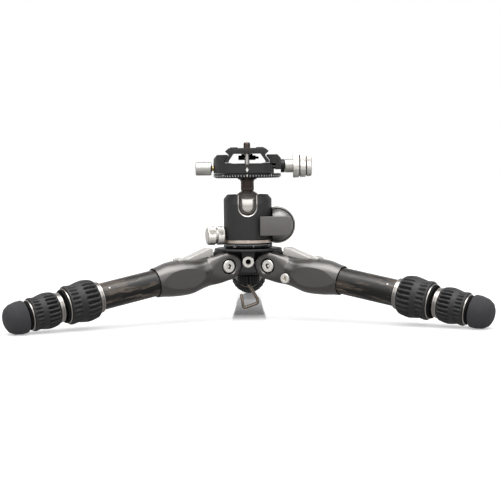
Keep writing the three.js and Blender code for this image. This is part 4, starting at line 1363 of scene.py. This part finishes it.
class TRIPOD_OT_main_lock(bpy.types.Operator):
    """Builds the main lock: a domed housing, its bright rim and its bar"""

    bl_idname = "tripod.main_lock"
    bl_label = "Main lock"

    def execute(self, context):
        x, _, z = on_hub(JOINTS["lock_lever_turn"]["pos_m"])
        lathe = Matrix.Translation((x, 0, z)) @ Matrix.Rotation(-math.pi / 2, 4, "Z")
        clear = [turned_up(rod(50, 110, SCALE_RADIUS, 128)), block(0, 21.6, -30, -0.5, 50, 110)]
        drum = moved(turned([(-9, 0), (-9, 14.4), (-8, 15.5), (-6, 15.9), (4.1, 15.9), (4.1, 0)], 144, 0.3),
                     lathe)
        dome = moved(turned([(-1, 0), (-1, 13.9), (5.2, 13.9), (7, 13.7), (8.8, 13.2), (10.6, 12.2),
                             (12.2, 10.6), (13.4, 8.6), (14.4, 6.0), (15.0, 3.2), (15.2, 0)], 144, 0), lathe)
        bore = moved(rod(-6, 20, 3.3, 48), lathe)
        ring = moved(turned([(3.0, 14.9), (3.0, 15.9), (3.7, 15.9), (4.4, 15.5), (4.4, 15.0), (4.1, 14.9)],
                            144, 0.1), lathe)
        place(carved(dome, *cut(*clear, bore)), "lock_dome", UPRIGHT, "head", "lock_grey",
              nodes=["lock_housing"])
        place(carved(drum, *cut(*clear, bore)), "lock_drum", UPRIGHT, "head", "body_charcoal")
        place(carved(ring, *cut(*clear)), "lock_ring", UPRIGHT, "head", "satin_silver")
        left, right, half, corner = -14.9, 11.9, 8.25, 3.4
        outline = [(left, -half), *arc(right - corner, corner - half, corner, -90, 0, 8),
                   *arc(right - corner, half - corner, corner, 0, 90, 8), (left, half)]
        bar = prism(outline, -23.2, -19.6, "y", 0.45, 3)
        shaft = across(rod(-20, 5.7, 3, 48, 0.2))
        place(moved(together(bar, shaft), Matrix.Translation((x, 0, z))), "lock_bar", UPRIGHT, "lock_lever",
              "lock_grey", "lever_grey", ["lock_lever"])
        return {"FINISHED"}


# ---------------------------------------------------------------- clamp and plate

CLAMP_RADIUS = 29.3
JAW_FACE = ((19.9, 130.4), (19.9, 133.4), (17.0, 136.9), (17.4, 138.0), (26.1, 138.0), (CLAMP_RADIUS, 134.7))
CLAMP_KNOB_HEIGHT = on_hub(JOINTS["clamp_knob_turn"]["pos_m"]).z
CLAMP_PAN_KNOB_HEIGHT = on_hub(JOINTS["clamp_pan_knob_turn"]["pos_m"]).z


class TRIPOD_OT_clamp(bpy.types.Operator):
    """Builds the clamp's panning disc, its body and its moving jaw"""

    bl_idname = "tripod.clamp"
    bl_label = "Clamp"

    def execute(self, context):
        clamp = context.scene.tripod_clamp
        low, high = span("clamp_disc", UPRIGHT, 2)
        disc = turned([(low, 0), (low, 27.4), (119, CLAMP_RADIUS), (121.2, CLAMP_RADIUS), (high, 28.9),
                       (high, 0)], 160, 0.2)
        place(disc, "pan_disc", AXLE, "stem", "scale_black", nodes=["clamp_disc"])
        ring_marks("pan_disc_marks", "stem", {
            "Count": clamp.scale_marks, "Long every": 9, "Radius": CLAMP_RADIUS - PAINT_SUNK,
            "Base": 119.15, "Length": 1.15, "Long length": 1.95, "Width": clamp.mark_width / MM,
            "Turn": math.pi})
        low = span("clamp_body", UPRIGHT, 2)[0]
        barrel = turned_up(turned([(low, 0), (low, 28.9), (low + 0.4, CLAMP_RADIUS), (130.7, CLAMP_RADIUS),
                                   (131, 29), (131, 0)], 160, 0.2))
        outline = [(-29.4, 129), (-19.6, 129), *[(0.3 - x, z) for x, z in JAW_FACE[1:]]]
        jaw = carved(prism(outline, -24, 24, "y"), ("INTERSECT", turned_up(rod(120, 140, 29.4, 160))))
        knob_bore = rod(-14, 30, SCREW_BORE, 36)
        pan_bore = rod(-40, -23, 2.3, 36)
        lips = [block(x0, x1, -40, 40, 129.6, 133) for x0, x1 in ((-40, -20), (19.6, 40))]
        scoop = prism(arc(0, 205.5, 76, -102.5, -77.5, 24), -40, 40, "y")
        body = carved(barrel, *cut(*lips, scoop), ("UNION", jaw), *cut(
            block(23, 40, -40, 40, low - 1, 139), block(-17, 40, -20.3, 20.3, 127.6, 132),
            block(-3, 3, -26, 26, 127.6, 132),
            raised(knob_bore, CLAMP_KNOB_HEIGHT), raised(pan_bore, CLAMP_PAN_KNOB_HEIGHT)))
        place(body, "clamp_base", UPRIGHT, "clamp", "body_charcoal", nodes=["clamp_body"])
        mark = across(prism_diamond(), (0, -CLAMP_RADIUS, 125.0))
        place(mark, "clamp_index", UPRIGHT, "clamp", "body_charcoal", "paint_white")
        outline = [(24.6, 125), (24.6, 130.4), *JAW_FACE, (CLAMP_RADIUS, 125)]
        round_end = turned_up(rod(100, 150, 31.4, 160))
        screw_bore = raised(rod(20, 40, SCREW_BORE, 36), CLAMP_KNOB_HEIGHT)
        moving = carved(prism(outline, -20, 20, "y"), ("INTERSECT", round_end), *cut(screw_bore))
        place(moving, "clamp_moving_jaw", UPRIGHT, "jaw", "body_charcoal", nodes=["clamp_jaw"])
        boss = turned([(CLAMP_RADIUS, SCREW_BORE), (CLAMP_RADIUS, 5.8), (32.3, 5.8), (32.7, 5.4),
                       (32.7, SCREW_BORE)], 72, 0.2)
        boss = raised(boss, CLAMP_KNOB_HEIGHT)
        place(boss, "clamp_jaw_boss", UPRIGHT, "jaw", "scale_black")
        return {"FINISHED"}


def prism_diamond():
    """A thin diamond that faces along X, for an index mark."""
    return prism([(0, 2.2), (1.3, 0), (0, -2.2), (-1.3, 0)], -0.06, 0.08, "x")


class TRIPOD_OT_plate(bpy.types.Operator):
    """Builds the camera plate, its pads, pins, screw and folding ring"""

    bl_idname = "tripod.plate"
    bl_label = "Camera plate"

    def execute(self, context):
        edge = context.scene.tripod_clamp.plate_edge / MM
        half = [(19, 131.3), (19, 133.1), (16, 136.5), (15.8, 138), (18.5, 140.5), (18.5, 141.1),
                (15.4, 143.6)]
        mirrored = [(-x, z) for x, z in reversed(half)]
        arch = [(-16.2, 131.3), (-16.2, 132.8), (-11.9, 139), (11.9, 139), (16.2, 132.8), (16.2, 131.3)]
        plate = prism([*half, *mirrored, *arch], -25, 25, "y", edge, 3)
        hole = turned_up(rod(120, 150, 3.5, 48))
        plate = carved(plate, *cut(hole))
        place(plate, "plate", UPRIGHT, "plate", "body_charcoal", nodes=["camera_plate"])
        for side in ("left", "right"):
            lo, hi = (on_hub(corner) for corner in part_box(f"plate_pad_{side}"))
            pad = block(lo.x, hi.x, lo.y, hi.y, 143.7, hi.z, 0.15)
            slots = [block(lo.x - 1, hi.x + 1, y - 0.35, y + 0.35, hi.z - 0.2, hi.z + 1)
                     for y in (lo.y + 4 * i for i in range(1, 10))]
            place(carved(pad, *cut(*slots)), f"pad_{side}", UPRIGHT, "plate", "pad_rubber",
                  nodes=[f"plate_pad_{side}"])
        for end, y in (("front", -16), ("rear", 16)):
            low, high = span(f"stop_pin_{end}", UPRIGHT, 2)
            pin = turned([(low, 0), (low, 1.7), (low + 0.4, 2.1), (high, 2.1), (high, 0)], 48, 0.15)
            place(turned_up(pin, (0, y, 0)), f"plate_pin_{end}", UPRIGHT, "plate", "steel",
                  nodes=[f"stop_pin_{end}"])
        head = turned([(133.4, 0), (133.4, 7.1), (133.9, 7.6), (137.0, 7.6), (137.4, 7.2), (137.4, 5),
                       (138.7, 5), (138.7, 0)], 72, 0.1, 2)
        slot = block(-9, 9, -0.9, 0.9, 131, 134.6)
        place(carved(turned_up(head), *cut(slot)), "plate_screw_head", UPRIGHT, "camera_screw", "scale_black",
              "painted_shade_black", ["camera_screw"])
        thread = turned([(138.75, 0), *[(138.8 + 0.5 * i, 3.1 if i % 2 else 2.7) for i in range(19)],
                         (148.3, 2.7), (148.7, 2.2), (148.7, 0)], 72, 0.1, 2)
        place(turned_up(thread), "plate_screw_thread", UPRIGHT, "camera_screw", "steel", "stem_gunmetal")
        outline = [*arc(0, 0, 10.2, -100, 100, 28), *arc(0, 0, 8.2, 100, -100, 28)]
        place(prism(outline, 134.4, 136.4, "z", 0.4, 2), "plate_fold_ring", UPRIGHT, "camera_screw",
              "scale_black", "painted_shade_black", ["fold_ring"])
        return {"FINISHED"}


class TRIPOD_OT_inner_parts(bpy.types.Operator):
    """Gives the parts inside the head their finishes"""

    bl_idname = "tripod.inner_parts"
    bl_label = "Inner parts"

    def execute(self, context):
        for node, name in (("pan_stud", "steel_inside"), ("ball_cup", "brass_inside")):
            for slot in frame["nodes"][node].material_slots:
                slot.material = FINISHES[name]
        return {"FINISHED"}


# ---------------------------------------------------------------- stage


def softbox(name, at, aim, width, height, power, mirrored=True):
    """An area lamp that faces a point, seen in polished metal or not."""
    data = bpy.data.lights.new(name, "AREA")
    data.shape, data.size, data.size_y, data.energy = "RECTANGLE", width, height, power
    lamp = bpy.data.objects.new(name, data)
    lamp.visible_glossy = mirrored
    lamp.location = at
    lamp.rotation_euler = (Vector(aim) - Vector(at)).to_track_quat("-Z", "Y").to_euler()
    bpy.context.scene.collection.objects.link(lamp)


def floor_material(colour):
    """A pale floor, white to the camera in the open, that keeps soft shadows and a reflection that fades; in
    polished metal it shows as a glow that dims towards the tripod, a painted shadow.
    """
    material = bpy.data.materials.new("studio_floor")
    material.use_nodes = True
    tree = material.node_tree
    tree.nodes.clear()
    light_path = put(tree, "ShaderNodeLightPath").outputs
    where = put(tree, "ShaderNodeTexCoord").outputs["Object"]
    away = put(tree, "ShaderNodeVectorMath", [where], operation="LENGTH").outputs["Value"]
    x, y, _ = put(tree, "ShaderNodeSeparateXYZ", [where]).outputs
    aside = put(tree, "ShaderNodeMath", [x], operation="ABSOLUTE").outputs[0]
    under = do(tree, "MULTIPLY", spread(tree, aside, 0.07, 0.03), spread(tree, y, -0.085, -0.035))
    under = do(tree, "MULTIPLY", under, spread(tree, y, 0.08, -0.02, 0.48, 0.75))
    diffuse = put(tree, "ShaderNodeBsdfDiffuse", {"Color": (*colour, 1)})
    gloss = put(tree, "ShaderNodeBsdfGlossy", {"Color": (1, 1, 1, 1), "Roughness": 0.07})
    strength = spread(tree, away, 0.25, 0.9, 0.38, 1.0)
    glow = put(tree, "ShaderNodeEmission", {"Color": (1, 1, 1, 1), "Strength": strength})
    lit = put(tree, "ShaderNodeAddShader", [diffuse.outputs[0], glow.outputs[0]])
    seen = put(tree, "ShaderNodeMixShader", [do(tree, "ADD", under, 0.08), lit.outputs[0], gloss.outputs[0]])
    # Painted shadow: to polished metal the floor is a glow that grows dimmer near the tripod.
    mirrored = spread(tree, away, 0.08, 0.4, 0.25, 0.75)
    shadowed_floor_glow = put(tree, "ShaderNodeEmission", {"Color": (1, 1, 1, 1), "Strength": mirrored})
    plain = put(tree, "ShaderNodeMixShader",
                [light_path["Is Glossy Ray"], diffuse.outputs[0], shadowed_floor_glow.outputs[0]])
    shown = put(tree, "ShaderNodeMixShader", [light_path["Is Camera Ray"], plain.outputs[0], seen.outputs[0]])
    out = put(tree, "ShaderNodeOutputMaterial")
    tree.links.new(shown.outputs[0], out.inputs["Surface"])
    return material


def studio_world(stage):
    """Plain fill for the object, white behind it, and a studio that only polished metal mirrors.

    The studio has a pale sweep behind, a bright box overhead, a screen by the camera and a dim roof.
    """
    world = bpy.data.worlds.new("studio")
    world.use_nodes = True
    tree = world.node_tree
    tree.nodes.clear()
    light_path = put(tree, "ShaderNodeLightPath").outputs
    way = put(tree, "ShaderNodeTexCoord").outputs["Generated"]
    x, y, z = put(tree, "ShaderNodeSeparateXYZ", [way]).outputs
    aside = put(tree, "ShaderNodeMath", [x], operation="ABSOLUTE").outputs[0]
    sweep = do(tree, "MULTIPLY", spread(tree, y, 0.1, 0.4), spread(tree, z, 0.3, 0.6, 1.1, 0.7))
    sweep = do(tree, "MULTIPLY", sweep, spread(tree, aside, 0.85, 0.6))
    overhead = do(tree, "MULTIPLY", spread(tree, z, 0.7, 0.9, 0.0, 6.5),
                  spread(tree, y, 0.35, -0.1, 0.1, 1.0))
    screen = do(tree, "MULTIPLY", spread(tree, y, -0.15, -0.3), spread(tree, aside, 0.92, 0.8))
    screen = do(tree, "MULTIPLY", screen, spread(tree, z, 0.0, 0.5, 0.45, 1.7))
    boxes = do(tree, "MAXIMUM", do(tree, "MAXIMUM", sweep, overhead), screen)
    horizon = do(tree, "MULTIPLY", spread(tree, z, 0.16, 0.06), spread(tree, y, -0.1, 0.1))
    mirrored = do(tree, "MAXIMUM", boxes, do(tree, "MAXIMUM", horizon, stage.roof))
    fill = put(tree, "ShaderNodeBackground", {"Color": (1, 1, 1, 1), "Strength": stage.fill})
    studio = put(tree, "ShaderNodeBackground", {"Color": (1, 1, 1, 1), "Strength": mirrored})
    backdrop = put(tree, "ShaderNodeBackground", {"Color": (1, 1, 1, 1), "Strength": 1.0})
    clear = do(tree, "MAXIMUM", light_path["Is Camera Ray"], light_path["Is Transmission Ray"])
    reflected = put(tree, "ShaderNodeMixShader",
                    [light_path["Is Glossy Ray"], fill.outputs[0], studio.outputs[0]])
    both = put(tree, "ShaderNodeMixShader", [clear, reflected.outputs[0], backdrop.outputs[0]])
    out = put(tree, "ShaderNodeOutputWorld")
    tree.links.new(both.outputs[0], out.inputs["Surface"])
    return world


class TRIPOD_OT_stage(bpy.types.Operator):
    """Sets the floor, the lamps, the world and the camera"""

    bl_idname = "tripod.stage"
    bl_label = "Stage"

    def execute(self, context):
        scene = context.scene
        stage = scene.tripod_stage
        scene.view_settings.view_transform = "Standard"
        floor = bpy.data.objects.new("floor", mesh_of(
            [(-6, -4, 0), (6, -4, 0), (6, 9, 0), (-6, 9, 0)], [(0, 1, 2, 3)]))
        floor.data.materials.append(floor_material(scene.tripod_finishes.floor))
        scene.collection.objects.link(floor)
        scene.world = studio_world(stage)
        middle = HUB_AXIS + Vector((0, 0, 0.07))
        softbox("softbox_top", middle + Vector((0, 0, 1.0)), middle, 2.0, 1.6, stage.top_light, False)
        for side in (-1, 1):
            softbox(f"softbox_{'left' if side < 0 else 'right'}", middle + Vector((side * 0.9, -0.5, 0.6)),
                    middle, 0.5, 0.8, stage.side_light)
        softbox("softbox_front", middle + Vector((0, -1.1, 0.75)), middle, 1.2, 0.8, stage.front_light, False)
        camera = bpy.data.cameras.new("camera")
        camera.lens, camera.sensor_width = stage.lens, 36
        camera.clip_start = 0.05
        eye = bpy.data.objects.new("camera", camera)
        eye.location = (HUB_AXIS.x + stage.aside, HUB_AXIS.y - stage.distance, stage.height)
        look = Matrix.Rotation(math.pi / 2 - stage.pitch, 4, "X") @ Matrix.Rotation(stage.roll, 4, "Z")
        eye.rotation_euler = look.to_euler()
        scene.collection.objects.link(eye)
        scene.camera = eye
        return {"FINISHED"}


OPERATORS = (
    TRIPOD_OT_finishes, TRIPOD_OT_castings, TRIPOD_OT_pivots, TRIPOD_OT_tubes, TRIPOD_OT_locks,
    TRIPOD_OT_feet, TRIPOD_OT_hub, TRIPOD_OT_hook, TRIPOD_OT_pan_base, TRIPOD_OT_head, TRIPOD_OT_ball,
    TRIPOD_OT_knobs, TRIPOD_OT_main_lock, TRIPOD_OT_clamp, TRIPOD_OT_plate, TRIPOD_OT_inner_parts,
    TRIPOD_OT_stage,
)


class TRIPOD_PT_panel(bpy.types.Panel):
    """Lists the tripod's pieces and sizes"""

    bl_idname = "TRIPOD_PT_panel"
    bl_label = "Tripod"
    bl_space_type = "VIEW_3D"
    bl_region_type = "UI"
    bl_category = "Tripod"

    def draw(self, context):
        for operator in OPERATORS:
            self.layout.operator(operator.bl_idname)
        for name, settings in GROUPS:
            box = self.layout.box()
            for key in settings.__annotations__:
                box.prop(getattr(context.scene, name), key)


def register():
    """Registers the property groups, the operators and the panel."""
    for name, settings in GROUPS:
        bpy.utils.register_class(settings)
        setattr(bpy.types.Scene, name, PointerProperty(type=settings))
    for operator in OPERATORS:
        bpy.utils.register_class(operator)
    bpy.utils.register_class(TRIPOD_PT_panel)


def unregister():
    """Takes the panel, the operators and the property groups away again."""
    bpy.utils.unregister_class(TRIPOD_PT_panel)
    for operator in reversed(OPERATORS):
        bpy.utils.unregister_class(operator)
    for name, settings in reversed(GROUPS):
        delattr(bpy.types.Scene, name)
        bpy.utils.unregister_class(settings)


def main():
    """Builds the whole tripod."""
    register()
    for operator in OPERATORS:
        group_name, step = operator.bl_idname.split(".")
        getattr(getattr(bpy.ops, group_name), step)()


if __name__ == "__main__":
    main()
